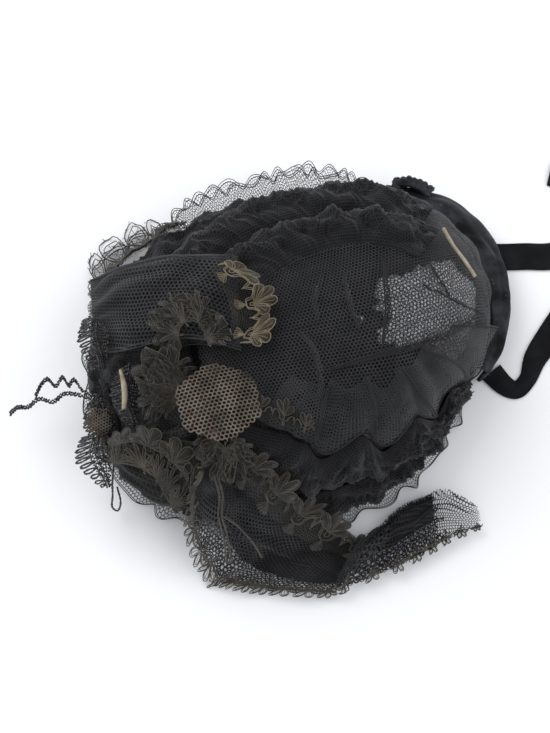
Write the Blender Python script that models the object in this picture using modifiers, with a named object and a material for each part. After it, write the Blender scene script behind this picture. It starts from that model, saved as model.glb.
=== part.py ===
"""Black net and lace bonnet with velvet ties, lying on its opening.

Metres, +Z up. The trimmed front points along -X, the back of the neck along +X and the
wearer's left along -Y. Every piece follows one form: a cap over an egg-shaped rim, whose
top leans towards the back and the left. A place on the form is an angle round the rim, from
+X towards +Y, and a reach from 0 at the top to 1 at the rim. Trimmings are laid in build
order, each on what is already there.
"""
import math
from collections import namedtuple

import bmesh
import bpy
from mathutils import Vector
from mathutils.bvhtree import BVHTree

# Driving sizes of the form
BONNET_LENGTH = 0.206
BONNET_WIDTH = 0.160
CROWN_HEIGHT = 0.080
LEAN_BACK = 0.20
LEAN_LEFT = 0.22
RIM_FULLNESS = 2.3
PROFILE_FULLNESS = 2.3
NAPE_DENT = 0.17
NAPE_DENT_ANGLE = -38.0
NAPE_DENT_WIDTH = 32.0

# Cloth, wire and bead sizes
NET_WALL = 0.0012
LACE_WALL = 0.0012
FRAME_WALL = 0.0016
VELVET_WALL = 0.0024
RIBBON_WALL = 0.0012
RIBBON_WIDTH = 0.0145
RIBBON_ROUND = 0.001
MESH_WALL = 0.0012
LEAF_WALL = 0.0022
BINDING_TOP = 0.95
BINDING_START = -22.0
BINDING_END = 48.0
BINDING_BULGE = 0.004
HEM_WIDTH = 0.0045
HEM_DEPTH = 0.0022
WIRE_DIAMETER = 0.0018
BEAD_WIRE_DIAMETER = 0.0026
QUILL_LENGTH = 0.019
QUILL_DIAMETER = 0.0030
QUILL_PLACE = (-0.86, -0.15, 1.0)
QUILL_TURN = (94.0, 0.0, -8.0)
DISC_HOLE = 0.0034
DISC_BAR = 0.0010
EDGE_WIRE_OUT = 0.003

# Gathers and frills
PLEAT_DEPTH = 0.0030
RUCHE_PUFF = 0.0065
PLEAT_GROWTH = 0.3
GATHER_DEPTH = 0.0022
RUCHE_END = 0.167
FRILL_WAVE = 0.0022
FRILL_END = 0.2
FRILL_END_WIDTH = 0.4

# How steeply a laid cloth falls from what holds it up
FALL = 0.9
LIMP_FALL = 2.2

# Clearances
SEAT_GAP = 0.0003
FRAME_INSET = 0.0024
LIFT_STEP = 0.0005
SEARCH_SPREAD = 0.0022
SEARCH_PLACES = 8
SEAT_REACH = 0.010
SEAT_ROUNDS = 40
SKY = 0.5
MERGE = 0.00001
FULL_TURN = 360.0
HALF_TURN = 180.0

# Steps over which slopes are read: degrees round the rim, reach on the form, share of a path
TURN_STEP = 0.5
REACH_STEP = 0.002
PATH_STEP = 0.01

# Which way a piece is seated
DOWN = Vector((0, 0, -1))
FROM_NEAR = Vector((0.1, 1.0, -0.3))
FROM_FAR = Vector((0, -1.0, -0.4))
FROM_BACK = Vector((-1, -0.2, -0.1))

PART_NAME = "net_bonnet"

# A row of a laid cloth: the two ends of a line across it, as shares of half the bonnet's
# length and width, and how high the cloth stands over what is under it, as a share of the
# crown's height
Row = namedtuple("Row", "ax ay bx by rise")
# A point of a wire: plan place in the same shares, and height as the same share
Point = namedtuple("Point", "x y height")
# A point of a ribbon: the same, and the share of the ribbon's width that lies open there
Run = namedtuple("Run", "x y height width")
# A place on the rim where a value changes: angle in degrees and the value
Stop = namedtuple("Stop", "angle value")
# A fold of the crown: where it runs, how wide it is, how deep, and where it starts
Pleat = namedtuple("Pleat", "angle width depth start")
# A frill past the rim: its angles, how wide it is, its heights at the rim and outside, its waves
Frill = namedtuple("Frill", "name start end width low high waves toward")
# A row of gathered net: its angles, the reaches of its two sewn edges, and its gathers; the
# upper edge of one that starts under the crown is counted from the crown's own edge
Ruche = namedtuple("Ruche", "name start end top bottom gathers toward under_crown")
# A laid cloth: its rows, its faces along and across, how much it is rounded across, the
# waves of its outer edge and how high they are, how far that edge lifts, and how it falls
Cloth = namedtuple("Cloth", "name rows finish wall columns lines arch waves wave lip fall")
# A flat piece of coarse mesh: its width, its place in shares, and its turns in degrees
Plate = namedtuple("Plate", "name width x y height turn")

CROWN_EDGE = (
    Stop(-180, 0.62), Stop(-128, 0.62), Stop(-118, 0.66), Stop(-105, 0.76), Stop(-91, 0.68),
    Stop(-77, 0.83), Stop(-64, 0.76), Stop(-50, 0.90), Stop(-40, 0.86), Stop(-28, 0.97),
    Stop(-14, 0.95), Stop(10, 0.95), Stop(30, 0.90), Stop(48, 0.66), Stop(120, 0.62), Stop(180, 0.62),
)
FRAME_TOP = (
    Stop(-180, 0.50), Stop(-60, 0.56), Stop(-30, 0.84), Stop(25, 0.84), Stop(60, 0.52), Stop(180, 0.50),
)
BINDING_OUT = (
    Stop(-23, 0.0028), Stop(-12, 0.0074), Stop(1, 0.0120), Stop(10, 0.0152), Stop(24, 0.0186),
    Stop(31, 0.0192), Stop(38, 0.0150), Stop(49, 0.0090),
)
CROWN_PLEATS = (
    Pleat(-60, 5, 0.8, 0.35), Pleat(-45, 6, 1.0, 0.30), Pleat(-31, 5, 1.0, 0.35), Pleat(-18, 5, 0.8, 0.30),
    Pleat(-6, 6, 1.0, 0.40), Pleat(8, 6, 1.0, 0.35), Pleat(22, 6, 0.9, 0.35), Pleat(37, 6, 0.8, 0.40),
    Pleat(-84, 7, 0.9, 0.40), Pleat(-112, 7, 0.8, 0.45),
)

BOW_UPPER = (
    Row(-0.25, 0.35, -0.34, -0.19, 0.01), Row(-0.47, 0.50, -0.57, -0.05, 0.01),
    Row(-0.73, 0.66, -0.83, 0.12, 0.01), Row(-0.89, 0.66, -0.96, 0.20, 0.08),
    Row(-0.85, 0.60, -0.93, 0.14, 0.22), Row(-0.69, 0.54, -0.79, 0.03, 0.24),
    Row(-0.46, 0.43, -0.56, -0.05, 0.17), Row(-0.23, 0.29, -0.32, -0.25, 0.10),
)
BORDER_UPPER = (
    Row(-0.27, 0.24, -0.36, 0.22, 0.01), Row(-0.15, 0.10, -0.33, 0.05, 0.02),
    Row(-0.14, -0.09, -0.33, -0.09, 0.02), Row(-0.23, -0.27, -0.38, -0.23, 0.01),
)
CORNER_LACE = (
    Row(-0.89, 0.90, -0.83, 0.62, 0.03), Row(-0.83, 1.02, -0.72, 0.68, 0.05),
    Row(-0.70, 1.08, -0.62, 0.74, 0.06), Row(-0.58, 1.13, -0.51, 0.78, 0.04),
    Row(-0.47, 1.06, -0.41, 0.78, 0.02),
)
BOW_LOWER = (
    Row(-0.57, -0.62, -0.60, -0.92, 0.01), Row(-0.75, -0.50, -0.80, -0.81, 0.01),
    Row(-0.93, -0.41, -0.92, -0.66, 0.06), Row(-0.91, -0.41, -0.91, -0.66, 0.17),
    Row(-0.77, -0.49, -0.81, -0.81, 0.16), Row(-0.56, -0.63, -0.59, -0.93, 0.10),
)
BORDER_LOWER = (
    Row(-0.96, -0.39, -0.99, -0.51, 0.02), Row(-0.81, -0.47, -0.83, -0.64, 0.03),
    Row(-0.66, -0.66, -0.77, -0.76, 0.03), Row(-0.61, -0.87, -0.74, -0.89, 0.02),
)
DRAPE = (
    Row(-0.45, -0.66, -0.62, -0.78, 0.03), Row(-0.35, -0.84, -0.70, -0.96, 0.03),
    Row(-0.22, -1.01, -0.64, -1.21, 0.03), Row(-0.06, -1.13, -0.44, -1.35, 0.03),
    Row(0.05, -1.29, -0.15, -1.48, 0.05),
)
DRAPE_LACE = (
    Row(-0.42, -0.65, -0.48, -0.70, 0.01), Row(-0.31, -0.81, -0.46, -0.88, 0.02),
    Row(-0.19, -0.97, -0.35, -1.06, 0.02), Row(-0.03, -1.10, -0.19, -1.21, 0.02),
    Row(0.08, -1.26, 0.00, -1.35, 0.02),
)
DRAPE_TAIL = (
    Row(0.00, -1.25, -0.17, -1.47, 0.02), Row(0.20, -1.11, 0.10, -1.45, 0.06),
    Row(0.35, -1.05, 0.29, -1.40, 0.06), Row(0.48, -1.06, 0.44, -1.35, 0.05),
    Row(0.60, -1.20, 0.59, -1.33, 0.02),
)
RUFFLE_1 = (
    Row(-0.65, -0.12, -0.57, -0.10, 0.02), Row(-0.66, 0.08, -0.55, -0.02, 0.05),
    Row(-0.56, 0.13, -0.51, -0.01, 0.07), Row(-0.44, 0.08, -0.46, -0.04, 0.06),
    Row(-0.37, -0.10, -0.44, -0.11, 0.04), Row(-0.35, -0.24, -0.43, -0.18, 0.02),
)
RUFFLE_2 = (
    Row(-0.59, -0.14, -0.59, -0.26, 0.01), Row(-0.70, -0.10, -0.62, -0.26, 0.04),
    Row(-0.77, -0.18, -0.64, -0.31, 0.05), Row(-0.78, -0.32, -0.65, -0.35, 0.03),
)
RUFFLE_3 = (
    Row(-0.59, -0.59, -0.51, -0.60, 0.02), Row(-0.61, -0.73, -0.51, -0.67, 0.04),
    Row(-0.53, -0.86, -0.48, -0.72, 0.05), Row(-0.41, -0.85, -0.43, -0.70, 0.03),
)
LACE_LEAF = (
    Row(-0.33, -0.50, -0.34, -0.54, 0.01), Row(-0.23, -0.52, -0.26, -0.64, 0.03),
    Row(-0.14, -0.62, -0.19, -0.71, 0.03), Row(-0.08, -0.71, -0.11, -0.75, 0.01),
)
BEAD_LEAF_1 = (
    Row(-0.96, 0.35, -0.88, 0.30, 0.03), Row(-0.98, 0.22, -0.86, 0.16, 0.06),
    Row(-0.97, 0.03, -0.90, 0.01, 0.03),
)
BEAD_LEAF_2 = (
    Row(-1.06, -0.05, -0.93, -0.09, 0.03), Row(-1.09, -0.18, -0.90, -0.22, 0.06),
    Row(-1.04, -0.31, -0.91, -0.32, 0.03),
)
BEAD_LEAF_3 = (
    Row(-1.09, -0.30, -0.99, -0.36, 0.02), Row(-1.11, -0.45, -0.99, -0.49, 0.05),
    Row(-1.05, -0.63, -1.01, -0.63, 0.02),
)
BEAD_LEAF_4 = (
    Row(-0.83, 0.01, -0.76, -0.02, 0.03), Row(-0.88, -0.13, -0.80, -0.18, 0.05),
    Row(-0.87, -0.33, -0.83, -0.35, 0.03),
)
BEAD_SPRAYS = {
    "bead_spray_1": (Point(-0.97, -0.05, 0.36), Point(-1.04, 0.01, 0.36), Point(-1.07, 0.09, 0.38),
                     Point(-1.10, 0.06, 0.39), Point(-1.12, 0.12, 0.39), Point(-1.16, 0.08, 0.38),
                     Point(-1.19, 0.14, 0.37), Point(-1.23, 0.11, 0.36), Point(-1.26, 0.06, 0.35)),
    "bead_spray_2": (Point(-0.97, -0.11, 0.30), Point(-1.06, -0.03, 0.30), Point(-1.13, 0.01, 0.28),
                     Point(-1.19, -0.01, 0.25), Point(-1.25, 0.04, 0.22), Point(-1.31, 0.02, 0.19),
                     Point(-1.36, 0.04, 0.17), Point(-1.40, 0.02, 0.15)),
}
CROWN_WIRE = (
    Point(0.72, 0.27, 0.90), Point(0.74, 0.15, 0.89), Point(0.77, 0.06, 0.87), Point(0.80, -0.05, 0.84),
)
EDGE_WIRE = (
    Stop(48, 0.14), Stop(58, 0.17), Stop(68, 0.19), Stop(78, 0.20), Stop(88, 0.20), Stop(98, 0.19),
    Stop(106, 0.17),
)
TWIST = (
    Row(0.66, 0.84, 0.63, 0.74, 0.02), Row(0.68, 0.95, 0.64, 0.84, 0.05),
    Row(0.77, 0.92, 0.73, 0.80, 0.09), Row(0.85, 0.82, 0.79, 0.72, 0.03),
)
TIE_FAR = (
    Run(0.97, 0.40, 0.005, 1.0), Run(1.09, 0.35, 0.0, 1.0), Run(1.22, 0.31, 0.0, 1.0),
    Run(1.34, 0.27, 0.0, 1.0), Run(1.50, 0.27, 0.0, 1.0), Run(1.62, 0.38, 0.0, 1.0),
    Run(1.64, 0.59, 0.0, 1.0), Run(1.58, 0.76, 0.0, 1.0), Run(1.48, 0.84, 0.0, 1.0),
)
TIE_NEAR = (
    Run(0.87, -0.39, 0.006, 0.8), Run(0.91, -0.49, 0.0, 0.7), Run(0.96, -0.54, 0.0, 0.6),
    Run(1.03, -0.49, 0.0, 0.55), Run(1.10, -0.37, 0.0, 0.75), Run(1.20, -0.26, 0.0, 0.9),
    Run(1.34, -0.12, 0.0, 1.0), Run(1.47, -0.03, 0.0, 1.0),
)

FRILLS = (
    Frill("frill_far", 50, 128, 0.016, 0.012, 0.014, 10, FROM_FAR),
    Frill("frill_near", -196, -29, 0.009, 0.005, 0.004, 13, FROM_NEAR),
)
RUCHES = (
    Ruche("ruche_far_1", 26, 152, 0.44, 0.62, 10, DOWN, False),
    Ruche("ruche_far_2", 33, 150, 0.65, 0.81, 10, DOWN, False),
    Ruche("ruche_far_3", 49, 158, 0.84, 0.965, 10, FROM_FAR, False),
    Ruche("ruche_near_1", -190, -32, 0.02, 0.93, 11, FROM_NEAR, True),
    Ruche("ruche_near_2", -196, -29, 0.945, 0.995, 11, FROM_NEAR, False),
)
BACK_CLOTHS = (
    Cloth("velvet_twist", TWIST, "velvet", VELVET_WALL, 12, 2, 0.5, 0, 0.0, 0.0, LIMP_FALL),
)
FRONT_CLOTHS = (
    Cloth("corner_lace", CORNER_LACE, "black_lace", LACE_WALL, 16, 4, 0.8, 6, 0.002, 0.0, LIMP_FALL),
    Cloth("bow_loop_upper", BOW_UPPER, "black_net", NET_WALL, 18, 5, 0.35, 0, 0.0, 0.0, FALL),
    Cloth("lace_border_upper", BORDER_UPPER, "brown_lace", LACE_WALL, 12, 2, 0.2, 4, 0.001, 0.0, FALL),
    Cloth("bow_loop_lower", BOW_LOWER, "black_net", NET_WALL, 14, 4, 0.35, 0, 0.0, 0.0, FALL),
    Cloth("lace_border_lower", BORDER_LOWER, "brown_lace", LACE_WALL, 12, 2, 0.2, 4, 0.001, 0.0, FALL),
    Cloth("drape", DRAPE, "black_net", NET_WALL, 14, 6, 0.6, 4, 0.0015, 0.0, LIMP_FALL),
    Cloth("drape_lace", DRAPE_LACE, "brown_lace", LACE_WALL, 16, 2, 0.2, 5, 0.001, 0.0, LIMP_FALL),
    Cloth("drape_tail", DRAPE_TAIL, "black_net", NET_WALL, 12, 4, 0.7, 3, 0.002, 0.0, LIMP_FALL),
    Cloth("bead_leaf_1", BEAD_LEAF_1, "jet", LEAF_WALL, 6, 2, 0.6, 0, 0.0, 0.0, FALL),
    Cloth("bead_leaf_2", BEAD_LEAF_2, "jet", LEAF_WALL, 6, 2, 0.6, 0, 0.0, 0.0, FALL),
    Cloth("bead_leaf_3", BEAD_LEAF_3, "jet", LEAF_WALL, 6, 2, 0.6, 0, 0.0, 0.0, FALL),
    Cloth("bead_leaf_4", BEAD_LEAF_4, "jet", LEAF_WALL, 6, 2, 0.6, 0, 0.0, 0.0, FALL),
)
TOP_CLOTHS = (
    Cloth("lace_ruffle_1", RUFFLE_1, "brown_lace", LACE_WALL, 20, 3, 0.2, 6, 0.002, 0.004, FALL),
    Cloth("lace_ruffle_2", RUFFLE_2, "brown_lace", LACE_WALL, 14, 3, 0.2, 4, 0.002, 0.004, FALL),
    Cloth("lace_ruffle_3", RUFFLE_3, "brown_lace", LACE_WALL, 14, 3, 0.2, 4, 0.002, 0.003, FALL),
    Cloth("lace_leaf", LACE_LEAF, "brown_lace", LACE_WALL, 8, 2, 0.6, 0, 0.0, 0.0, FALL),
)
PLATES = (
    Plate("mesh_petal", 0.015, -1.00, -0.22, 1.2, (20, -30, 10)),
    Plate("mesh_disc", 0.040, -0.47, -0.49, 1.5, (-6, 6, 8)),
)

FINISHES = {
    "black_net": ((0.020, 0.021, 0.025, 1.0), 0.75, 0.0),
    "black_lace": ((0.030, 0.026, 0.022, 1.0), 0.80, 0.0),
    "brown_lace": ((0.085, 0.060, 0.035, 1.0), 0.80, 0.0),
    "tan_mesh": ((0.32, 0.25, 0.17, 1.0), 0.85, 0.0),
    "velvet": ((0.012, 0.012, 0.014, 1.0), 0.60, 0.0),
    "jet": ((0.010, 0.010, 0.012, 1.0), 0.15, 0.0),
    "cream": ((0.62, 0.53, 0.40, 1.0), 0.60, 0.0),
    "buckram": ((0.045, 0.042, 0.040, 1.0), 0.90, 0.0),
}


def rim_radius(angle):
    """Distance from the middle to the rim in a direction given in degrees."""
    turn = math.radians(angle)
    along = abs(math.cos(turn) / (BONNET_LENGTH / 2)) ** RIM_FULLNESS
    across = abs(math.sin(turn) / (BONNET_WIDTH / 2)) ** RIM_FULLNESS
    off = (angle - NAPE_DENT_ANGLE + HALF_TURN) % FULL_TURN - HALF_TURN
    dent = NAPE_DENT * math.exp(-(off / NAPE_DENT_WIDTH) ** 2)
    return (along + across) ** (-1 / RIM_FULLNESS) * (1 - dent)


def on_form(angle, reach):
    """Point of the bare form."""
    inside = min(reach, 1.0)
    fall = 1 - inside ** 2
    turn = math.radians(angle)
    radius = reach * rim_radius(angle)
    return Vector((
        LEAN_BACK * BONNET_LENGTH / 2 * fall + radius * math.cos(turn),
        -LEAN_LEFT * BONNET_WIDTH / 2 * fall + radius * math.sin(turn),
        CROWN_HEIGHT * math.sqrt(max(0.0, 1 - inside ** PROFILE_FULLNESS)),
    ))


def over_form(angle, reach, height):
    """Point that stands off the form by a height, along the form's own normal."""
    reach = min(max(reach, 2 * REACH_STEP), 1 - 2 * REACH_STEP)
    round_the_rim = on_form(angle + TURN_STEP, reach) - on_form(angle - TURN_STEP, reach)
    down_the_side = on_form(angle, reach + REACH_STEP) - on_form(angle, reach - REACH_STEP)
    return on_form(angle, reach) + down_the_side.cross(round_the_rim).normalized() * height


def past_rim(angle, out, height):
    """Point beyond the rim by a distance out, at a height over the table."""
    turn = math.radians(angle)
    radius = rim_radius(angle) + out
    return Vector((radius * math.cos(turn), radius * math.sin(turn), height))


def between(stops, angle):
    """Value at an angle in a table of stops, eased from one stop to the next."""
    angle = (angle + HALF_TURN) % FULL_TURN - HALF_TURN
    for low, high in zip(stops, stops[1:]):
        if low.angle <= angle <= high.angle:
            share = (angle - low.angle) / (high.angle - low.angle)
            ease = share * share * (3 - 2 * share)
            return low.value + (high.value - low.value) * ease
    return stops[0].value


def along_rows(rows, share):
    """Values of a row at a share of the way through a table, on a smooth curve."""
    place = share * (len(rows) - 1)
    index = min(int(place), len(rows) - 2)
    part = place - index
    before = rows[max(index - 1, 0)]
    after = rows[min(index + 2, len(rows) - 1)]
    values = []
    for back, low, high, front in zip(before, rows[index], rows[index + 1], after):
        values.append(0.5 * (
            2 * low + (high - back) * part + (2 * back - 5 * low + 4 * high - front) * part ** 2
            + (3 * low - back - 3 * high + front) * part ** 3
        ))
    return type(rows[0])(*values)


def from_shares(x, y, height):
    """Point from shares of half the length, half the width and the crown's height."""
    return Vector((x * BONNET_LENGTH / 2, y * BONNET_WIDTH / 2, height * CROWN_HEIGHT))


def finish_material(name):
    """Material with the finish's colour, roughness and metallic value."""
    material = bpy.data.materials.get(name) or bpy.data.materials.new(name)
    colour, roughness, metallic = FINISHES[name]
    material.use_nodes = True
    shader = material.node_tree.nodes["Principled BSDF"]
    shader.inputs["Base Color"].default_value = colour
    shader.inputs["Roughness"].default_value = roughness
    shader.inputs["Metallic"].default_value = metallic
    material.diffuse_color = colour
    return material


def add_piece(name, data, finish):
    """Object for a piece, in the bonnet's collection and on its empty."""
    piece = bpy.data.objects.new(name, data)
    bpy.data.collections[PART_NAME].objects.link(piece)
    piece.parent = bpy.data.objects[PART_NAME + "_origin"]
    data.materials.append(finish_material(finish))
    return piece


def sheet_mesh(name, columns, rows, place, close_round=False, close_section=False):
    """Sheet of faces whose corners are put by place(share along, share across)."""
    shape = bmesh.new()
    bmesh.ops.create_grid(shape, x_segments=columns, y_segments=rows, size=0.5)
    wide = max(corner.co.x for corner in shape.verts) * 2
    deep = max(corner.co.y for corner in shape.verts) * 2
    for corner in shape.verts:
        corner.co = place(corner.co.x / wide + 0.5, corner.co.y / deep + 0.5)
    if close_round or close_section:
        bmesh.ops.remove_doubles(shape, verts=shape.verts, dist=MERGE)
        bmesh.ops.recalc_face_normals(shape, faces=shape.faces)
    mesh = bpy.data.meshes.new(name)
    shape.to_mesh(mesh)
    shape.free()
    mesh.shade_smooth()
    return mesh


def add_wall(piece, wall, offset=0.0):
    """Thickness for a cloth piece."""
    solidify = piece.modifiers.new("wall", "SOLIDIFY")
    solidify.thickness = wall
    solidify.offset = offset
    return piece


def world_mesh(pieces):
    """Corners and faces of the finished pieces together."""
    bpy.context.view_layer.update()
    depsgraph = bpy.context.evaluated_depsgraph_get()
    corners = []
    faces = []
    for piece in pieces:
        shape = piece.evaluated_get(depsgraph)
        mesh = shape.to_mesh()
        mesh.calc_loop_triangles()
        start = len(corners)
        corners += [piece.matrix_world @ corner.co for corner in mesh.vertices]
        faces += [[start + index for index in face.vertices] for face in mesh.loop_triangles]
        shape.to_mesh_clear()
    return corners, faces


def top_near(tree, x, y, spread):
    """Highest point of what lies under a place and close round it, or the table."""
    highest = 0.0
    places = [(x, y)]
    for place in range(SEARCH_PLACES):
        turn = 2 * math.pi * place / SEARCH_PLACES
        places.append((x + spread * math.cos(turn), y + spread * math.sin(turn)))
    for east, north in places:
        hit = tree.ray_cast(Vector((east, north, SKY)), DOWN)[0]
        if hit:
            highest = max(highest, hit.z)
    return highest


def seat(piece, others, toward=DOWN):
    """Move a piece clear of the others, then towards them until only the seating gap is left."""
    corners, faces = world_mesh([piece])
    other_corners, other_faces = world_mesh(others)
    carrier = BVHTree.FromPolygons(other_corners, other_faces)
    samples = corners + [sum((corners[i] for i in face), Vector()) / len(face) for face in faces]
    toward = toward.normalized()
    shift = Vector()
    floor = min(corner.z for corner in corners)

    def moved_tree():
        return BVHTree.FromPolygons([corner + shift for corner in corners], faces)

    while carrier.overlap(moved_tree()):
        shift -= toward * LIFT_STEP
    low = Vector([min(corner[axis] for corner in corners) for axis in range(3)])
    high = Vector([max(corner[axis] for corner in corners) for axis in range(3)])
    for _ in range(SEAT_ROUNDS):
        own = moved_tree()
        nearest = min(carrier.find_nearest(sample + shift)[3] for sample in samples)
        for corner in other_corners:
            inside = all(
                low[axis] + shift[axis] - SEAT_REACH < corner[axis] < high[axis] + shift[axis] + SEAT_REACH
                for axis in range(3)
            )
            if inside:
                nearest = min(nearest, own.find_nearest(corner)[3])
        step = nearest - SEAT_GAP
        if toward.z < 0:
            step = min(step, (floor + shift.z - SEAT_GAP) / -toward.z)
        if step < SEAT_GAP / 10:
            break
        shift += toward * step
    while carrier.overlap(moved_tree()):
        shift -= toward * SEAT_GAP
    piece.location += shift
    return piece


def drop_on(mesh, others, wall, fall):
    """Stand a sheet's heights on what is under it, falling no more steeply than the cloth does."""
    tree = BVHTree.FromPolygons(*world_mesh(others))
    spots = [(corner.co.x, corner.co.y) for corner in mesh.vertices]
    tops = [top_near(tree, x, y, SEARCH_SPREAD) for x, y in spots]
    for corner, (x, y) in zip(mesh.vertices, spots):
        held = max(top - fall * math.hypot(x - east, y - north) for top, (east, north) in zip(tops, spots))
        corner.co.z += held + wall / 2 + SEAT_GAP


def lay_cloth(cloth, others):
    """Cloth laid over the others: arch rounds it across, waves ruffle its outer edge."""

    def place(along, across):
        row = along_rows(cloth.rows, along)
        x = (row.ax + (row.bx - row.ax) * across) * BONNET_LENGTH / 2
        y = (row.ay + (row.by - row.ay) * across) * BONNET_WIDTH / 2
        rounded = 1 - cloth.arch + cloth.arch * math.sin(math.pi * across)
        wave = 1 + math.sin(2 * math.pi * cloth.waves * along)
        ruffle = cloth.wave * wave * math.sqrt(1 - across) + cloth.lip * (1 - across)
        return Vector((x, y, max(row.rise, 0.0) * CROWN_HEIGHT * rounded + ruffle))

    mesh = sheet_mesh(cloth.name, cloth.columns, cloth.lines, place)
    drop_on(mesh, others, cloth.wall, cloth.fall)
    return seat(add_wall(add_piece(cloth.name, mesh, cloth.finish), cloth.wall), others)


def make_brim_frame():
    """Stiffened ring under the net, with a flat hem to rest on."""
    sides = 42
    lines = 3
    depth = FRAME_INSET

    def section(angle):
        top = between(FRAME_TOP, angle)
        reaches = [top + (1 - top) * line / lines for line in range(lines)]
        outer = [over_form(angle, reach, -depth) for reach in reaches]
        inner = [over_form(angle, reach, -depth - FRAME_WALL) for reach in reversed(reaches)]
        foot = [
            past_rim(angle, -depth, HEM_DEPTH), past_rim(angle, -depth, 0.0),
            past_rim(angle, -depth - HEM_WIDTH, 0.0), past_rim(angle, -depth - HEM_WIDTH, HEM_DEPTH),
        ]
        loop = outer + foot + inner
        return loop + loop[:1]

    count = len(section(0.0)) - 1

    def place(along, across):
        return section(along * FULL_TURN)[round(across * count)]

    mesh = sheet_mesh("brim_frame", sides, count, place, close_round=True, close_section=True)
    return add_piece("brim_frame", mesh, "buckram")


def pleat_height(angle, reach):
    """How far the crown's folds sink or stand at a place."""
    height = 0.0
    for pleat in CROWN_PLEATS:
        off = (angle - pleat.angle + HALF_TURN) % FULL_TURN - HALF_TURN
        grow = max(0.0, min(1.0, (reach - pleat.start) / PLEAT_GROWTH))
        height -= PLEAT_DEPTH * pleat.depth * grow * math.exp(-(off / pleat.width) ** 2)
    return height


def make_crown(others):
    """Soft net dome over the frame, with box pleats and a lobed lower edge."""
    sides = 50
    rings = 7
    shape = bmesh.new()
    bmesh.ops.create_uvsphere(shape, u_segments=sides, v_segments=2 * rings, radius=1.0)
    below = [corner for corner in shape.verts if corner.co.z < -MERGE]
    bmesh.ops.delete(shape, geom=below, context="VERTS")
    for corner in shape.verts:
        angle = math.degrees(math.atan2(corner.co.y, corner.co.x))
        share = math.acos(min(1.0, corner.co.z)) / (math.pi / 2)
        reach = share * between(CROWN_EDGE, angle)
        corner.co = over_form(angle, reach, pleat_height(angle, reach)) if share > MERGE else on_form(0, 0)
    mesh = bpy.data.meshes.new("crown")
    shape.to_mesh(mesh)
    shape.free()
    mesh.shade_smooth()
    piece = add_piece("crown", mesh, "black_net")
    return seat(add_wall(piece, NET_WALL), others)


def make_ruche(ruche, others):
    """Row of gathered net, puffed between its two sewn edges."""
    base = NET_WALL + 2 * SEAT_GAP

    def place(along, across):
        angle = ruche.start + (ruche.end - ruche.start) * along
        upper = ruche.top + (between(CROWN_EDGE, angle) if ruche.under_crown else 0.0)
        reach = upper + (ruche.bottom - upper) * across
        puff = math.sin(math.pi * across)
        gather = GATHER_DEPTH * math.sin(2 * math.pi * ruche.gathers * along)
        ends = min(1.0, along / RUCHE_END, (1 - along) / RUCHE_END)
        return over_form(angle, reach, base + ends * puff * (RUCHE_PUFF + gather))

    mesh = sheet_mesh(ruche.name, 3 * ruche.gathers, 3, place)
    return seat(add_wall(add_piece(ruche.name, mesh, "black_net"), NET_WALL), others, ruche.toward)


def make_frill(frill, others):
    """Thin frill of net standing out past the rim."""

    def place(along, across):
        angle = frill.start + (frill.end - frill.start) * along
        ends = min(1.0, along / FRILL_END, (1 - along) / FRILL_END)
        width = frill.width * (FRILL_END_WIDTH + (1 - FRILL_END_WIDTH) * ends)
        wave = FRILL_WAVE * across * math.sin(2 * math.pi * frill.waves * along)
        out = SEAT_GAP + across * width + wave
        return past_rim(angle, out, frill.low + (frill.high - frill.low) * across + wave)

    mesh = sheet_mesh(frill.name, 3 * frill.waves, 2, place)
    return seat(add_wall(add_piece(frill.name, mesh, "black_net"), NET_WALL), others, frill.toward)


def make_binding(others):
    """Velvet folded over the back edge of the net."""
    low = VELVET_WALL / 2 + RIBBON_WALL + RIBBON_ROUND + SEAT_GAP

    def place(along, across):
        angle = BINDING_START + (BINDING_END - BINDING_START) * along
        upper = over_form(angle, BINDING_TOP, VELVET_WALL)
        lower = past_rim(angle, between(BINDING_OUT, angle), low)
        bulge = BINDING_BULGE * math.sin(math.pi * across)
        point = upper.lerp(lower, across) + Vector((0, 0, bulge))
        return point + past_rim(angle, bulge, 0) - past_rim(angle, 0, 0)

    piece = add_piece("velvet_binding", sheet_mesh("velvet_binding", 20, 3, place), "velvet")
    return seat(add_wall(piece, VELVET_WALL), others, FROM_BACK)


def make_tie(name, points, others):
    """Velvet ribbon laid on the table from the back of the bonnet."""

    def place(along, across):
        here = along_rows(points, along)
        before = along_rows(points, max(0.0, along - PATH_STEP))
        after = along_rows(points, min(1.0, along + PATH_STEP))
        forward = Vector(((after.x - before.x) * BONNET_LENGTH, (after.y - before.y) * BONNET_WIDTH, 0))
        side = Vector((-forward.y, forward.x, 0)).normalized() * RIBBON_WIDTH * here.width * (across - 0.5)
        spot = Vector((here.x * BONNET_LENGTH / 2, here.y * BONNET_WIDTH / 2, 0)) + side
        spot.z = here.height * CROWN_HEIGHT + RIBBON_ROUND * math.sin(math.pi * across)
        spot.z += RIBBON_WALL / 2 + SEAT_GAP
        return spot

    piece = add_piece(name, sheet_mesh(name, 20, 2, place), "velvet")
    return seat(add_wall(piece, RIBBON_WALL), others)


def make_tube(name, points, diameter, finish):
    """Round wire through the points, with filled ends."""
    curve = bpy.data.curves.new(name, "CURVE")
    curve.dimensions = "3D"
    curve.bevel_depth = diameter / 2
    curve.bevel_resolution = 1
    curve.use_fill_caps = True
    spline = curve.splines.new("POLY")
    spline.points.add(len(points) - 1)
    for knot, point in zip(spline.points, points):
        knot.co = (*point, 1.0)
    return add_piece(name, curve, finish)


def make_shaped_tube(name, points, diameter, finish, others, steps):
    """Wire through a table of points, read from a smooth curve, and seated."""
    path = []
    for step in range(steps + 1):
        spot = along_rows(points, step / steps)
        path.append(from_shares(spot.x, spot.y, spot.height))
    return seat(make_tube(name, path, diameter, finish), others)


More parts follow.
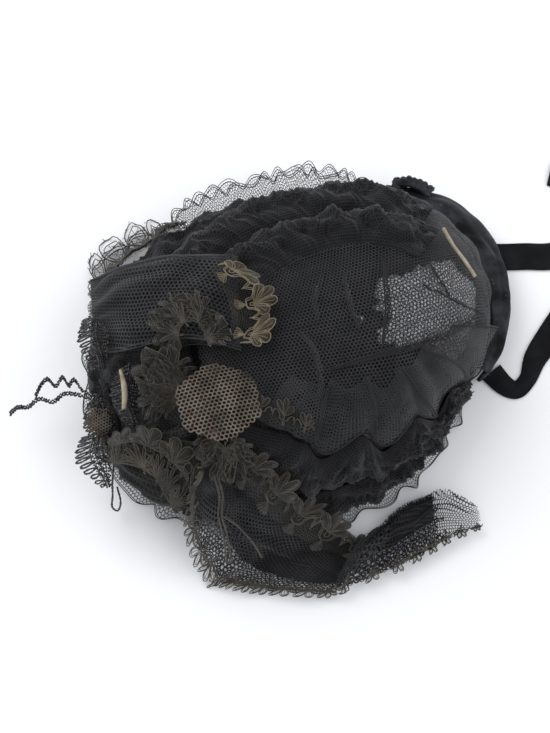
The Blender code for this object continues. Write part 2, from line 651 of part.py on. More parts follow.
def make_edge_wire(others):
    """Covered wire along the far edge, on top of the frill."""
    path = [past_rim(stop.angle, EDGE_WIRE_OUT, stop.value * CROWN_HEIGHT) for stop in EDGE_WIRE]
    return seat(make_tube("edge_wire", path, WIRE_DIAMETER, "buckram"), others)


def six_sided(x, y, radius, turn):
    """Corners of a six-sided outline."""
    corners = []
    for step in range(6):
        angle = math.radians(turn + step * FULL_TURN / 6)
        corners.append((x + radius * math.cos(angle), y + radius * math.sin(angle)))
    return corners


def make_net_plate(plate, others):
    """Flat piece of coarse six-sided mesh, cut through, with a plain rim."""
    pitch = DISC_HOLE + DISC_BAR
    across_flats = plate.width * math.cos(math.radians(30))
    rings = int((across_flats / 2 - DISC_BAR) / pitch)
    loops = [six_sided(0, 0, plate.width / 2, 0)]
    for east in range(-rings, rings + 1):
        for north in range(-rings, rings + 1):
            if abs(east + north) <= rings:
                x = pitch * (east + north / 2)
                y = pitch * north * math.sin(math.radians(60))
                loops.append(six_sided(x, y, DISC_HOLE / math.sqrt(3), 30))
    curve = bpy.data.curves.new(plate.name, "CURVE")
    curve.dimensions = "2D"
    curve.fill_mode = "BOTH"
    curve.extrude = MESH_WALL / 2
    for loop in loops:
        spline = curve.splines.new("POLY")
        spline.points.add(len(loop) - 1)
        for knot, (x, y) in zip(spline.points, loop):
            knot.co = (x, y, 0.0, 1.0)
        spline.use_cyclic_u = True
    piece = add_piece(plate.name, curve, "tan_mesh")
    piece.location = from_shares(plate.x, plate.y, plate.height)
    piece.rotation_euler = [math.radians(turn) for turn in plate.turn]
    return seat(piece, others)


def make_quill(others):
    """Short cream stem, tapered to its tip."""
    mesh = bpy.data.meshes.new("quill")
    shape = bmesh.new()
    bmesh.ops.create_cone(
        shape, cap_ends=True, segments=10, depth=QUILL_LENGTH,
        radius1=QUILL_DIAMETER / 2, radius2=QUILL_DIAMETER / 3,
    )
    shape.to_mesh(mesh)
    shape.free()
    piece = add_piece("quill", mesh, "cream")
    piece.location = from_shares(*QUILL_PLACE)
    piece.rotation_euler = [math.radians(turn) for turn in QUILL_TURN]
    return seat(piece, others)


def centre_on_box():
    """Put the origin at the middle of the box's floor."""
    pieces = list(bpy.data.collections[PART_NAME].objects)
    corners, _ = world_mesh([piece for piece in pieces if piece.type != "EMPTY"])
    low = [min(corner[axis] for corner in corners) for axis in range(3)]
    high = [max(corner[axis] for corner in corners) for axis in range(3)]
    origin = bpy.data.objects[PART_NAME + "_origin"]
    origin.location = (-(low[0] + high[0]) / 2, -(low[1] + high[1]) / 2, -low[2])
    bpy.context.view_layer.update()


def build():
    """Make every piece, from the frame outwards."""
    for item in list(bpy.data.objects):
        bpy.data.objects.remove(item, do_unlink=True)
    collection = bpy.data.collections.new(PART_NAME)
    bpy.context.scene.collection.children.link(collection)
    origin = bpy.data.objects.new(PART_NAME + "_origin", None)
    collection.objects.link(origin)

    built = [make_brim_frame()]
    built.append(make_crown(built))
    for frill in FRILLS:
        built.append(make_frill(frill, built))
    for ruche in RUCHES:
        built.append(make_ruche(ruche, built))
    built.append(make_tie("tie_far", TIE_FAR, built))
    built.append(make_tie("tie_near", TIE_NEAR, built))
    built.append(make_binding(built))
    built.append(make_edge_wire(built))
    for cloth in BACK_CLOTHS:
        built.append(lay_cloth(cloth, built))
    built.append(make_shaped_tube("crown_wire", CROWN_WIRE, WIRE_DIAMETER, "cream", built, 6))
    for cloth in FRONT_CLOTHS:
        built.append(lay_cloth(cloth, built))
    for name, points in BEAD_SPRAYS.items():
        built.append(make_shaped_tube(name, points, BEAD_WIRE_DIAMETER, "jet", built, 18))
    for cloth in TOP_CLOTHS:
        built.append(lay_cloth(cloth, built))
    built.append(make_quill(built))
    for plate in PLATES:
        built.append(make_net_plate(plate, built))
    centre_on_box()


build()
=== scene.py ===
"""Looks of a black net and lace bonnet with velvet ties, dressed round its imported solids.

Everything is in metres in the solids' own frame: +Z up, the trimmed front along -X, the back
of the neck along +X, the wearer's left along -Y. Cloth pieces are patches: a coarse grid of
points laid as the solids were, read as a smooth surface. Nets, lace, cords and beads are
mapped onto the patches.
"""
import logging
import math
from collections.abc import Callable, Sequence
from dataclasses import dataclass, field
from enum import Enum

import bmesh
import bpy
import numpy as np
from mathutils import Matrix, Vector
from mathutils.bvhtree import BVHTree


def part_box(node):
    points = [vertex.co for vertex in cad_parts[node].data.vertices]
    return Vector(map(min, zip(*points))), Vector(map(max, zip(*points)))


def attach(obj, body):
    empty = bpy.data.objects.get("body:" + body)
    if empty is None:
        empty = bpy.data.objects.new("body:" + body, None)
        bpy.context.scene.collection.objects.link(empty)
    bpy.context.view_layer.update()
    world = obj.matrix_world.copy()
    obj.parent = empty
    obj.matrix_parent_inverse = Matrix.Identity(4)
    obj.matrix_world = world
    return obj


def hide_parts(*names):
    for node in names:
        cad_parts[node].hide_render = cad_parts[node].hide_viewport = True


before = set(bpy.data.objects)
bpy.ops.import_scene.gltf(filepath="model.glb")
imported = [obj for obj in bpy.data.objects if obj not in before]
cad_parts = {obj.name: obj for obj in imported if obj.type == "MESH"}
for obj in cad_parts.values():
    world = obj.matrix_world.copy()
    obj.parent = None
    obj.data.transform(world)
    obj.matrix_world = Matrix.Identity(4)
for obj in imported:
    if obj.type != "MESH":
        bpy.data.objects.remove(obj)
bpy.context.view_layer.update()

LOG = logging.getLogger("bonnet")

Array = np.ndarray
Piece = bpy.types.Object
Place = Callable[[float, float], Vector]
Keep = Callable[[Array, Array], Array]
Colour = tuple[float, float, float]
Point = tuple[float, float, float]

FULL_TURN = 360.0
HALF_TURN = 180.0
DOWN = Vector((0.0, 0.0, -1.0))
SKY = 0.5
MERGE = 0.00001
FALL = 0.9
LIMP_FALL = 2.2
NARROWEST_CUT = 0.0102
LEAST_THREAD = 0.301
TABLE_GAP = 0.0006

# Solids in the order they were laid, each resting on those before it
LAID_ORDER = (
    "brim_frame", "crown", "frill_far", "frill_near", "ruche_far_1", "ruche_far_2", "ruche_far_3",
    "ruche_near_1", "ruche_near_2", "tie_far", "tie_near", "velvet_binding", "edge_wire", "velvet_twist",
    "crown_wire", "corner_lace", "bow_loop_upper", "lace_border_upper", "bow_loop_lower",
    "lace_border_lower", "drape", "drape_lace", "drape_tail", "bead_leaf_1", "bead_leaf_2", "bead_leaf_3",
    "bead_leaf_4", "bead_spray_1", "bead_spray_2", "lace_ruffle_1", "lace_ruffle_2", "lace_ruffle_3",
    "lace_leaf", "quill", "mesh_petal", "mesh_disc",
)


class Held(Enum):
    """How a sheet of cloth is held on the bonnet."""

    GATHERED = "gathered"
    FOLDED = "folded"
    LAID = "laid"
    DRAPED = "draped"


# ---------------------------------------------------------------- tables


@dataclass(frozen=True)
class Row:
    """Line across a laid cloth: its two ends in shares of the half sizes, and its rise."""

    ax: float
    ay: float
    bx: float
    by: float
    rise: float


@dataclass(frozen=True)
class Run:
    """Point of a ribbon: plan place and height in shares, and the width that lies open."""

    x: float
    y: float
    height: float
    width: float


@dataclass(frozen=True)
class Spot:
    """Point of a wire: plan place and height in shares."""

    x: float
    y: float
    height: float


@dataclass(frozen=True)
class Stop:
    """Value at an angle round the rim, in degrees."""

    angle: float
    value: float


@dataclass(frozen=True)
class Pleat:
    """Fold of the crown: where it runs, its width in degrees, its depth and where it starts."""

    angle: float
    width: float
    depth: float
    start: float


@dataclass(frozen=True)
class Flap:
    """Doubled pleat at the crown's lobed edge.

    It is given by a place near its lobe, half its share of the way round, the share from the top
    where it starts, and how far its open side stands off.
    """

    x: float
    y: float
    half: float
    start: float
    rise: float


@dataclass(frozen=True)
class Fold:
    """Tuck of the crown: its path in millimetres, its width, its rise and its thread."""

    path: tuple[Point, ...]
    width: float
    rise: float
    bar: float


def table(kind: type, *rows: tuple[float, ...]) -> tuple:
    """Rows of one kind, from values in hundredths."""
    return tuple(kind(*(value / 100 for value in row)) for row in rows)


CROWN_EDGE = (
    Stop(-180, 0.62), Stop(-128, 0.62), Stop(-118, 0.66), Stop(-105, 0.76), Stop(-91, 0.68),
    Stop(-77, 0.83), Stop(-64, 0.76), Stop(-50, 0.90), Stop(-40, 0.86), Stop(-28, 0.97),
    Stop(-14, 0.95), Stop(10, 0.95), Stop(30, 0.90), Stop(48, 0.66), Stop(120, 0.62), Stop(180, 0.62),
)
CROWN_PLEATS = (
    Pleat(-60, 5, 0.8, 0.35), Pleat(-45, 6, 1.0, 0.30), Pleat(-31, 5, 1.0, 0.35), Pleat(-18, 5, 0.8, 0.30),
    Pleat(-6, 6, 1.0, 0.40), Pleat(8, 6, 1.0, 0.35), Pleat(22, 6, 0.9, 0.35), Pleat(37, 6, 0.8, 0.40),
    Pleat(-84, 7, 0.9, 0.40), Pleat(-112, 7, 0.8, 0.45),
)
BINDING_OUT = (
    Stop(-23, 0.0028), Stop(-12, 0.0074), Stop(1, 0.0120), Stop(10, 0.0152), Stop(24, 0.0186),
    Stop(31, 0.0192), Stop(38, 0.0150), Stop(49, 0.0090),
)
BOW_UPPER = table(
    Row, (-25, 35, -34, -19, 1), (-47, 50, -57, -5, 1), (-73, 66, -83, 12, 1), (-89, 66, -96, 20, 8),
    (-85, 60, -93, 14, 22), (-69, 54, -79, 3, 24), (-46, 43, -56, -5, 17), (-23, 29, -32, -25, 10),
)
BORDER_UPPER = table(
    Row, (-27, 24, -36, 22, 1), (-15, 10, -33, 5, 2), (-14, -9, -33, -9, 2), (-23, -27, -38, -23, 1),
)
CORNER_LACE = table(
    Row, (-89, 90, -83, 62, 3), (-83, 102, -72, 68, 5), (-70, 108, -62, 74, 6), (-58, 113, -51, 78, 4),
    (-47, 106, -41, 78, 2),
)
BOW_LOWER = table(
    Row, (-57, -62, -60, -92, 1), (-75, -50, -80, -81, 1), (-93, -41, -92, -66, 6),
    (-91, -41, -91, -66, 17), (-77, -49, -81, -81, 16), (-56, -63, -59, -93, 10),
)
BORDER_LOWER = table(
    Row, (-96, -39, -99, -51, 2), (-81, -47, -83, -64, 3), (-66, -66, -77, -76, 3),
    (-61, -87, -74, -89, 2),
)
DRAPE = table(
    Row, (-45, -66, -62, -78, 3), (-35, -84, -70, -96, 3), (-22, -101, -64, -121, 3),
    (-6, -113, -44, -135, 3), (5, -129, -15, -148, 5),
)
DRAPE_LACE = table(
    Row, (-42, -65, -48, -70, 1), (-31, -81, -46, -88, 2), (-19, -97, -35, -106, 2),
    (-3, -110, -19, -121, 2), (8, -126, 0, -135, 2),
)
DRAPE_TAIL = table(
    Row, (0, -125, -17, -147, 2), (20, -111, 10, -145, 6), (35, -105, 29, -140, 6),
    (48, -106, 44, -135, 5), (60, -120, 59, -133, 2),
)
RUFFLE_1 = table(
    Row, (-65, -12, -57, -10, 2), (-66, 8, -55, -2, 5), (-56, 13, -51, -1, 7), (-44, 8, -46, -4, 6),
    (-37, -10, -44, -11, 4), (-35, -24, -43, -18, 2),
)
RUFFLE_2 = table(
    Row, (-59, -14, -59, -26, 1), (-70, -10, -62, -26, 4), (-77, -18, -64, -31, 5),
    (-78, -32, -65, -35, 3),
)
RUFFLE_3 = table(
    Row, (-59, -59, -51, -60, 2), (-61, -73, -51, -67, 4), (-53, -86, -48, -72, 5),
    (-41, -85, -43, -70, 3),
)
LACE_LEAF = table(
    Row, (-33, -50, -34, -54, 1), (-23, -52, -26, -64, 3), (-14, -62, -19, -71, 3),
    (-8, -71, -11, -75, 1),
)
BEAD_LEAF_1 = table(
    Row, (-96, 35, -88, 30, 3), (-98, 22, -86, 16, 6), (-97, 3, -90, 1, 3),
)
BEAD_LEAF_2 = table(
    Row, (-106, -5, -93, -9, 3), (-109, -18, -90, -22, 6), (-104, -31, -91, -32, 3),
)
BEAD_LEAF_3 = table(
    Row, (-109, -30, -99, -36, 2), (-111, -45, -99, -49, 5), (-105, -63, -101, -63, 2),
)
BEAD_LEAF_4 = table(
    Row, (-83, 1, -76, -2, 3), (-88, -13, -80, -18, 5), (-87, -33, -83, -35, 3),
)
CROWN_FLAPS = (
    Flap(-0.046, -0.054, 0.040, 0.62, 0.0018), Flap(-0.020, -0.060, 0.046, 0.55, 0.0026),
    Flap(0.012, -0.057, 0.044, 0.58, 0.0030), Flap(0.038, -0.045, 0.042, 0.54, 0.0024),
    Flap(0.058, -0.028, 0.034, 0.60, 0.0030),
)
CROWN_FOLDS = (
    Fold(((38.2, 3.6, 83.1), (51.8, -4.1, 74.9), (66.3, -6.4, 54.4)), 0.0035, 0.0006, 0.0009),
    Fold((
        (71.6, 0.2, 44.2), (57.9, -11.7, 62.7), (39.6, -20.5, 76.2), (20.8, -24.0, 82.9), (2.8, -25.2, 85.5),
        (-13.8, -25.7, 84.7),
    ), 0.0050, 0.0010, 0.0010),
    Fold((
        (24.6, 18.4, 84.4), (22.0, 6.5, 86.3), (18.3, -7.8, 87.0), (12.4, -20.6, 85.9),
    ), 0.0048, 0.0012, 0.0008),
    Fold(((5.2, 16.3, 85.9), (3.9, 3.4, 87.4), (4.3, -11.6, 87.4)), 0.0045, 0.0010, 0.0006),
    Fold((
        (34.0, -22.0, 76.0), (41.7, -26.8, 61.4), (45.0, -32.0, 48.0), (38.3, -42.0, 42.5),
        (28.9, -50.1, 43.3),
    ), 0.0110, 0.0022, 0.00055),
    Fold((
        (55.0, -18.2, 56.0), (62.0, -22.0, 40.0), (56.0, -32.0, 30.0), (47.0, -40.0, 24.0),
    ), 0.0080, 0.0022, 0.0007),
    Fold(((14.2, -38.5, 77.8), (12.9, -48.8, 64.2), (11.1, -57.5, 45.2)), 0.0080, 0.0020, 0.0007),
    Fold(((-3.9, -38.3, 80.8), (-4.6, -48.9, 69.4), (-7.8, -56.9, 56.4)), 0.0085, 0.0020, 0.00055),
    Fold(((-27.7, -38.3, 77.4), (-27.7, -47.3, 68.8), (-28.7, -53.0, 55.6)), 0.0070, 0.0018, 0.0007),
    Fold((
        (-21.2, -4.2, 86.0), (-17.3, -15.1, 86.1), (-17.7, -28.6, 83.5), (-21.5, -36.0, 80.0),
    ), 0.0050, 0.0012, 0.0006),
    Fold(((45.4, 17.4, 77.9), (47.0, 8.0, 78.0), (50.0, -2.0, 75.0)), 0.0040, 0.0010, 0.0006),
    Fold(((-4.0, 22.0, 84.0), (-10.0, 10.0, 86.0), (-12.0, -2.0, 87.0)), 0.0045, 0.0010, 0.0006),
)
TWIST = table(
    Row, (66, 84, 63, 74, 2), (68, 95, 64, 84, 5), (77, 92, 73, 80, 9), (85, 82, 79, 72, 3),
)
SPRAY_UPPER = table(
    Spot, (-97, -5, 36), (-104, 1, 36), (-107, 9, 38), (-110, 6, 39), (-112, 12, 39), (-116, 8, 38),
    (-119, 14, 37), (-123, 11, 36), (-126, 6, 35),
)
SPRAY_LOWER = table(
    Spot, (-97, -11, 30), (-106, -3, 30), (-113, 1, 28), (-119, -1, 25), (-125, 4, 22), (-131, 2, 19),
    (-136, 4, 17), (-140, 2, 15),
)
TIE_FAR = table(
    Run, (97, 40, 0.5, 100), (109, 35, 0, 100), (122, 31, 0, 100), (134, 27, 0, 100), (150, 27, 0, 100),
    (162, 38, 0, 100), (164, 59, 0, 100), (158, 76, 0, 100), (148, 84, 0, 100),
)
TIE_NEAR = table(
    Run, (87, -39, 0.6, 80), (91, -49, 0, 70), (96, -54, 0, 60), (103, -49, 0, 55), (110, -37, 0, 75),
    (120, -26, 0, 90), (134, -12, 0, 100), (147, -3, 0, 100),
)
LACE_STEMS = (
    (
        (-0.0740, -0.0520, 0.0650), (-0.0735, -0.0600, 0.0560), (-0.0762, -0.0665, 0.0455),
        (-0.0760, -0.0735, 0.0315), (-0.0775, -0.0815, 0.0140),
    ),
    (
        (-0.0725, -0.0520, 0.0650), (-0.0720, -0.0600, 0.0560), (-0.0745, -0.0665, 0.0455),
        (-0.0742, -0.0735, 0.0315), (-0.0752, -0.0815, 0.0140),
    ),
    (
        (-0.0745, -0.0665, 0.0455), (-0.0690, -0.0720, 0.0420), (-0.0640, -0.0790, 0.0330),
        (-0.0610, -0.0850, 0.0230),
    ),
)
HANGING_STRING = (
    (-0.1165, -0.0300, 0.0440), (-0.1195, -0.0340, 0.0320), (-0.1215, -0.0370, 0.0200),
    (-0.1235, -0.0395, 0.0100), (-0.1215, -0.0405, 0.0045), (-0.1190, -0.0380, 0.0100),
    (-0.1185, -0.0345, 0.0220),
)


# ---------------------------------------------------------------- form and patches


def along_rows(rows: tuple, share: float) -> object:
    """Read a table on a smooth curve.

    Args:
        rows: Rows, runs or spots, all of one kind.
        share: How far through the table, from 0 to 1.

    Returns:
        A row of the same kind with the values there.
    """
    kind = type(rows[0])
    names = list(kind.__dataclass_fields__)
    place = share * (len(rows) - 1)
    index = min(int(place), len(rows) - 2)
    part = place - index
    picked = (rows[max(index - 1, 0)], rows[index], rows[index + 1], rows[min(index + 2, len(rows) - 1)])
    values = []
    for name in names:
        back, low, high, front = (getattr(row, name) for row in picked)
        values.append(0.5 * (
            2 * low + (high - back) * part + (2 * back - 5 * low + 4 * high - front) * part ** 2
            + (3 * low - back - 3 * high + front) * part ** 3
        ))
    return kind(*values)


def wrapped(angle: float | Array) -> float | Array:
    """The same direction, between minus and plus half a turn."""
    return (angle + HALF_TURN) % FULL_TURN - HALF_TURN


def run_on(points: Array) -> Array:
    """Points with one more at each end, straight on from the last two."""
    return np.concatenate([2 * points[:1] - points[1:2], points, 2 * points[-1:] - points[-2:-1]])


def between(stops: tuple[Stop, ...], angle: float) -> float:
    """Value at an angle in a table of stops, eased from one stop to the next.

    Args:
        stops: The table, by angle.
        angle: Direction in degrees.

    Returns:
        The value there.
    """
    angle = wrapped(angle)
    for low, high in zip(stops, stops[1:]):
        if low.angle <= angle <= high.angle:
            share = (angle - low.angle) / (high.angle - low.angle)
            return low.value + (high.value - low.value) * share * share * (3 - 2 * share)
    return stops[0].value


@dataclass(frozen=True)
class Form:
    """Cap that every piece follows, over an egg-shaped rim, its top leaning back and left."""

    length: float = 0.206
    width: float = 0.160
    height: float = 0.080
    lean_back: float = 0.20
    lean_left: float = 0.22
    rim_fullness: float = 2.3
    profile_fullness: float = 2.3
    dent: float = 0.17
    dent_angle: float = -38.0
    dent_width: float = 32.0
    frame_inset: float = 0.0024
    frame_sides: int = 42
    turn_step: float = 0.5
    reach_step: float = 0.002

    def rim_radius(self, angle: float) -> float:
        """Distance from the middle to the rim in a direction in degrees.

        Args:
            angle: Direction in degrees.

        Returns:
            The distance.
        """
        turn = math.radians(angle)
        along = abs(math.cos(turn) / (self.length / 2)) ** self.rim_fullness
        across = abs(math.sin(turn) / (self.width / 2)) ** self.rim_fullness
        off = wrapped(angle - self.dent_angle)
        dent = self.dent * math.exp(-(off / self.dent_width) ** 2)
        return (along + across) ** (-1 / self.rim_fullness) * (1 - dent)

    def bare(self, angle: float, reach: float) -> Vector:
        """Point of the form about its own middle.

        Args:
            angle: Direction in degrees.
            reach: 0 at the top, 1 at the rim.

        Returns:
            The point.
        """
        inside = min(reach, 1.0)
        fall = 1 - inside ** 2
        turn = math.radians(angle)
        radius = reach * self.rim_radius(angle)
        return Vector((
            self.lean_back * self.length / 2 * fall + radius * math.cos(turn),
            -self.lean_left * self.width / 2 * fall + radius * math.sin(turn),
            self.height * math.sqrt(max(0.0, 1 - inside ** self.profile_fullness)),
        ))

    def bare_past_rim(self, angle: float, out: float, height: float) -> Vector:
        """Point beyond the rim about the form's own middle."""
        turn = math.radians(angle)
        radius = self.rim_radius(angle) + out
        return Vector((radius * math.cos(turn), radius * math.sin(turn), height))

    def origin(self) -> Vector:
        """Where the form's middle lies in the solids' frame, read from the frame ring's box."""
        hem = [
            self.bare_past_rim(side * FULL_TURN / self.frame_sides, -self.frame_inset, 0.0)
            for side in range(self.frame_sides)
        ]
        low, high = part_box("brim_frame")
        return Vector((
            (low.x + high.x - min(p.x for p in hem) - max(p.x for p in hem)) / 2,
            (low.y + high.y - min(p.y for p in hem) - max(p.y for p in hem)) / 2,
            0.0,
        ))

    def over(self, angle: float, reach: float, height: float) -> Vector:
        """Point that stands off the form along its normal.

        Args:
            angle: Direction round the rim in degrees.
            reach: 0 at the top, 1 at the rim.
            height: Distance from the form.

        Returns:
            The point in the solids' frame.
        """
        reach = min(max(reach, 2 * self.reach_step), 1 - 2 * self.reach_step)
        rim = self.bare(angle + self.turn_step, reach) - self.bare(angle - self.turn_step, reach)
        side = self.bare(angle, reach + self.reach_step) - self.bare(angle, reach - self.reach_step)
        return self.bare(angle, reach) + side.cross(rim).normalized() * height + ORIGIN

    def past_rim(self, angle: float, out: float, height: float) -> Vector:
        """Point beyond the rim by a distance out, at a height over the table."""
        return self.bare_past_rim(angle, out, height) + ORIGIN

    def from_shares(self, x: float, y: float, height: float) -> Vector:
        """Point from shares of half the length, half the width and the height."""
        return Vector((x * self.length / 2, y * self.width / 2, height * self.height)) + ORIGIN


FORM = Form()
ORIGIN = FORM.origin()


@dataclass
class Patch:
    """Smooth surface through a coarse grid of points, read by shares u along and v across."""

    grid: Array
    probe: float = 0.004
    sign: float = 1.0

    @classmethod
    def of(cls, columns: int, lines: int, place: Place) -> "Patch":
        """Patch from a function of the two shares.

        Args:
            columns: Steps along.
            lines: Steps across.
            place: Gives the point at two shares.

        Returns:
            The patch.
        """
        return cls(np.array([
            [tuple(place(i / columns, j / lines)) for j in range(lines + 1)] for i in range(columns + 1)
        ], float))

    def inside(self, u: Array, v: Array) -> Array:
        """Points at shares that lie in the patch.

        Args:
            u: Shares along.
            v: Shares across.

        Returns:
            One point in each row.
        """
        full = run_on(run_on(self.grid).swapaxes(0, 1)).swapaxes(0, 1)
        index_u, weight_u = self.weights(u, self.grid.shape[0])
        index_v, weight_v = self.weights(v, self.grid.shape[1])
        total = np.zeros((len(u), 3))
        for a in range(4):
            for b in range(4):
                total += (weight_u[:, a] * weight_v[:, b])[:, None] * full[index_u + a, index_v + b]
        return total

    @staticmethod
    def weights(share: Array, count: int) -> tuple[Array, Array]:
        """Index of the first neighbour and the weights of four neighbours.

        Args:
            share: Places on the line.
            count: Points on the line.

        Returns:
            The index and the weights.
        """
        place = share * (count - 1)
        index = np.clip(np.floor(place).astype(int), 0, count - 2)
        t = place - index
        return index, 0.5 * np.stack([
            -t + 2 * t ** 2 - t ** 3, 2 - 5 * t ** 2 + 3 * t ** 3,
            t + 4 * t ** 2 - 3 * t ** 3, t ** 3 - t ** 2,
        ], axis=1)

    def at(self, u: Array, v: Array) -> Array:
        """Points at shares, running straight on past the patch's edges.

        Args:
            u: Shares along.
            v: Shares across.

        Returns:
            One point in each row.
        """
        held_u, held_v = np.clip(u, 0, 1), np.clip(v, 0, 1)
        points = self.inside(held_u, held_v)
        for over, step_u, step_v in ((u - held_u, self.probe, 0.0), (v - held_v, 0.0, self.probe)):
            if np.any(over):
                ahead_u = np.clip(held_u + step_u, 0, 1)
                ahead_v = np.clip(held_v + step_v, 0, 1)
                back_u = np.clip(held_u - step_u, 0, 1)
                back_v = np.clip(held_v - step_v, 0, 1)
                span = (ahead_u - back_u) + (ahead_v - back_v)
                slope = (self.inside(ahead_u, ahead_v) - self.inside(back_u, back_v)) / span[:, None]
                points = points + slope * over[:, None]
        return points

    def normal(self, u: Array, v: Array) -> Array:
        """Unit normals at shares.

        Args:
            u: Shares along.
            v: Shares across.

        Returns:
            One unit vector in each row.
        """
        u, v = np.clip(u, 0, 1), np.clip(v, 0, 1)
        along = self.inside(np.clip(u + self.probe, 0, 1), v) - self.inside(np.clip(u - self.probe, 0, 1), v)
        across = self.inside(u, np.clip(v + self.probe, 0, 1)) - self.inside(u, np.clip(v - self.probe, 0, 1))
        cross = np.cross(along, across) * self.sign
        return cross / np.maximum(np.linalg.norm(cross, axis=1, keepdims=True), 1e-12)

    def lifted(self, u: Array, v: Array, lift: Array | float) -> Array:
        """Points that stand off the patch along its normal, never under the table.

        Args:
            u: Shares along.
            v: Shares across.
            lift: Distance from the patch.

        Returns:
            One point in each row.
        """
        lift = np.broadcast_to(np.asarray(lift, float), u.shape)
        points = self.at(u, v) + self.normal(u, v) * lift[:, None]
        points[:, 2] = np.maximum(points[:, 2], TABLE_GAP)
        return points

    def line(self, u: Array, v: float, lift: Array | float) -> Array:
        """Points along the patch at one share across, standing off it."""
        return self.lifted(u, np.full(len(u), v), lift)

    def size(self) -> tuple[float, float]:
        """Mean length along and mean width across, measured on the surface."""
        along = np.linalg.norm(np.diff(self.grid, axis=0), axis=2).sum(0).mean()
        across = np.linalg.norm(np.diff(self.grid, axis=1), axis=2).sum(1).mean()
        return float(along), float(across)

    def area(self) -> float:
        """Area of the surface."""
        one = np.diff(self.grid, axis=0)[:, :-1]
        two = np.diff(self.grid, axis=1)[:-1]
        return float(np.linalg.norm(np.cross(one, two), axis=2).sum())

    def facing_up(self) -> "Patch":
        """The same patch with its normals turned mostly upwards."""
        shares = np.linspace(0.1, 0.9, 9)
        u, v = (side.ravel() for side in np.meshgrid(shares, shares))
        if self.normal(u, v)[:, 2].mean() < 0:
            self.sign = -self.sign
        return self

    def on_node(self, node: str) -> "Patch":
        """The same patch, moved so that the middle of its box is that of a solid's box."""
        low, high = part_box(node)
        points = self.grid.reshape(-1, 3)
        middle = (points.min(0) + points.max(0)) / 2
        self.grid = self.grid + (np.array((low + high) / 2) - middle)
        return self


def tree_of(nodes: Sequence[str]) -> BVHTree:
    """Faces of some of the solids, ready for looking up what lies under or near a place."""
    corners: list[Vector] = []
    faces: list[list[int]] = []
    for name in nodes:
        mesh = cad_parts[name].data
        start = len(corners)
        corners += [corner.co.copy() for corner in mesh.vertices]
        faces += [[start + index for index in face.vertices] for face in mesh.polygons]
    return BVHTree.FromPolygons(corners, faces)


@dataclass(frozen=True)
class Lay:
    """How a cloth was laid: its rows, grid, roundness, ruffle and how steeply it falls."""

    node: str
    rows: tuple[Row, ...]
    columns: int
    lines: int
    arch: float
    waves: float = 0.0
    wave: float = 0.0
    lip: float = 0.0
    fall: float = FALL
    spread: float = 0.0022
    places: int = 8

    def under(self) -> BVHTree:
        """Tree of the solids that were there before this one."""
        return tree_of(LAID_ORDER[:LAID_ORDER.index(self.node)])

    def top_near(self, tree: BVHTree, x: float, y: float) -> float:
        """Highest point of what lies under a place and close round it, or the table.

        Args:
            tree: What lies under.
            x: Place along X.
            y: Place along Y.

        Returns:
            The height.
        """
        spots = [(x, y)]
        for place in range(self.places):
            turn = math.tau * place / self.places
            spots.append((x + self.spread * math.cos(turn), y + self.spread * math.sin(turn)))
        heights = [tree.ray_cast(Vector((east, north, SKY)), DOWN)[0] for east, north in spots]
        return max([0.0] + [hit.z for hit in heights if hit])

    def patch(self) -> Patch:
        """Patch along the middle of the laid solid's wall."""

        def place(along: float, across: float, ruffled: bool = True) -> Vector:
            """Point at the two shares."""
            row = along_rows(self.rows, along)
            point = FORM.from_shares(
                row.ax + (row.bx - row.ax) * across, row.ay + (row.by - row.ay) * across, 0.0,
            )
            rounded = 1 - self.arch + self.arch * math.sin(math.pi * across)
            point.z = max(row.rise, 0.0) * FORM.height * rounded + self.lip * (1 - across)
            if ruffled:
                wave = 1 + math.sin(math.tau * self.waves * along)
                point.z += self.wave * wave * math.sqrt(1 - across)
            return point

        waved = Patch.of(self.columns, self.lines, place)
        plain = Patch.of(self.columns, self.lines, lambda along, across: place(along, across, False))
        tree = self.under()
        spots = [(point[0], point[1]) for point in plain.grid.reshape(-1, 3)]
        tops = np.array([self.top_near(tree, x, y) for x, y in spots])
        plan = np.array(spots)
        gaps = np.linalg.norm(plan[:, None] - plan[None], axis=2)
        held = (tops[None] - self.fall * gaps).max(1).reshape(plain.grid.shape[:2])
        waved.grid[:, :, 2] += held
        plain.grid[:, :, 2] += held
        before = waved.grid.copy()
        waved.on_node(self.node)
        plain.grid[:, :, 2] += (waved.grid - before)[0, 0, 2]
        return plain.facing_up()


# ---------------------------------------------------------------- finishes


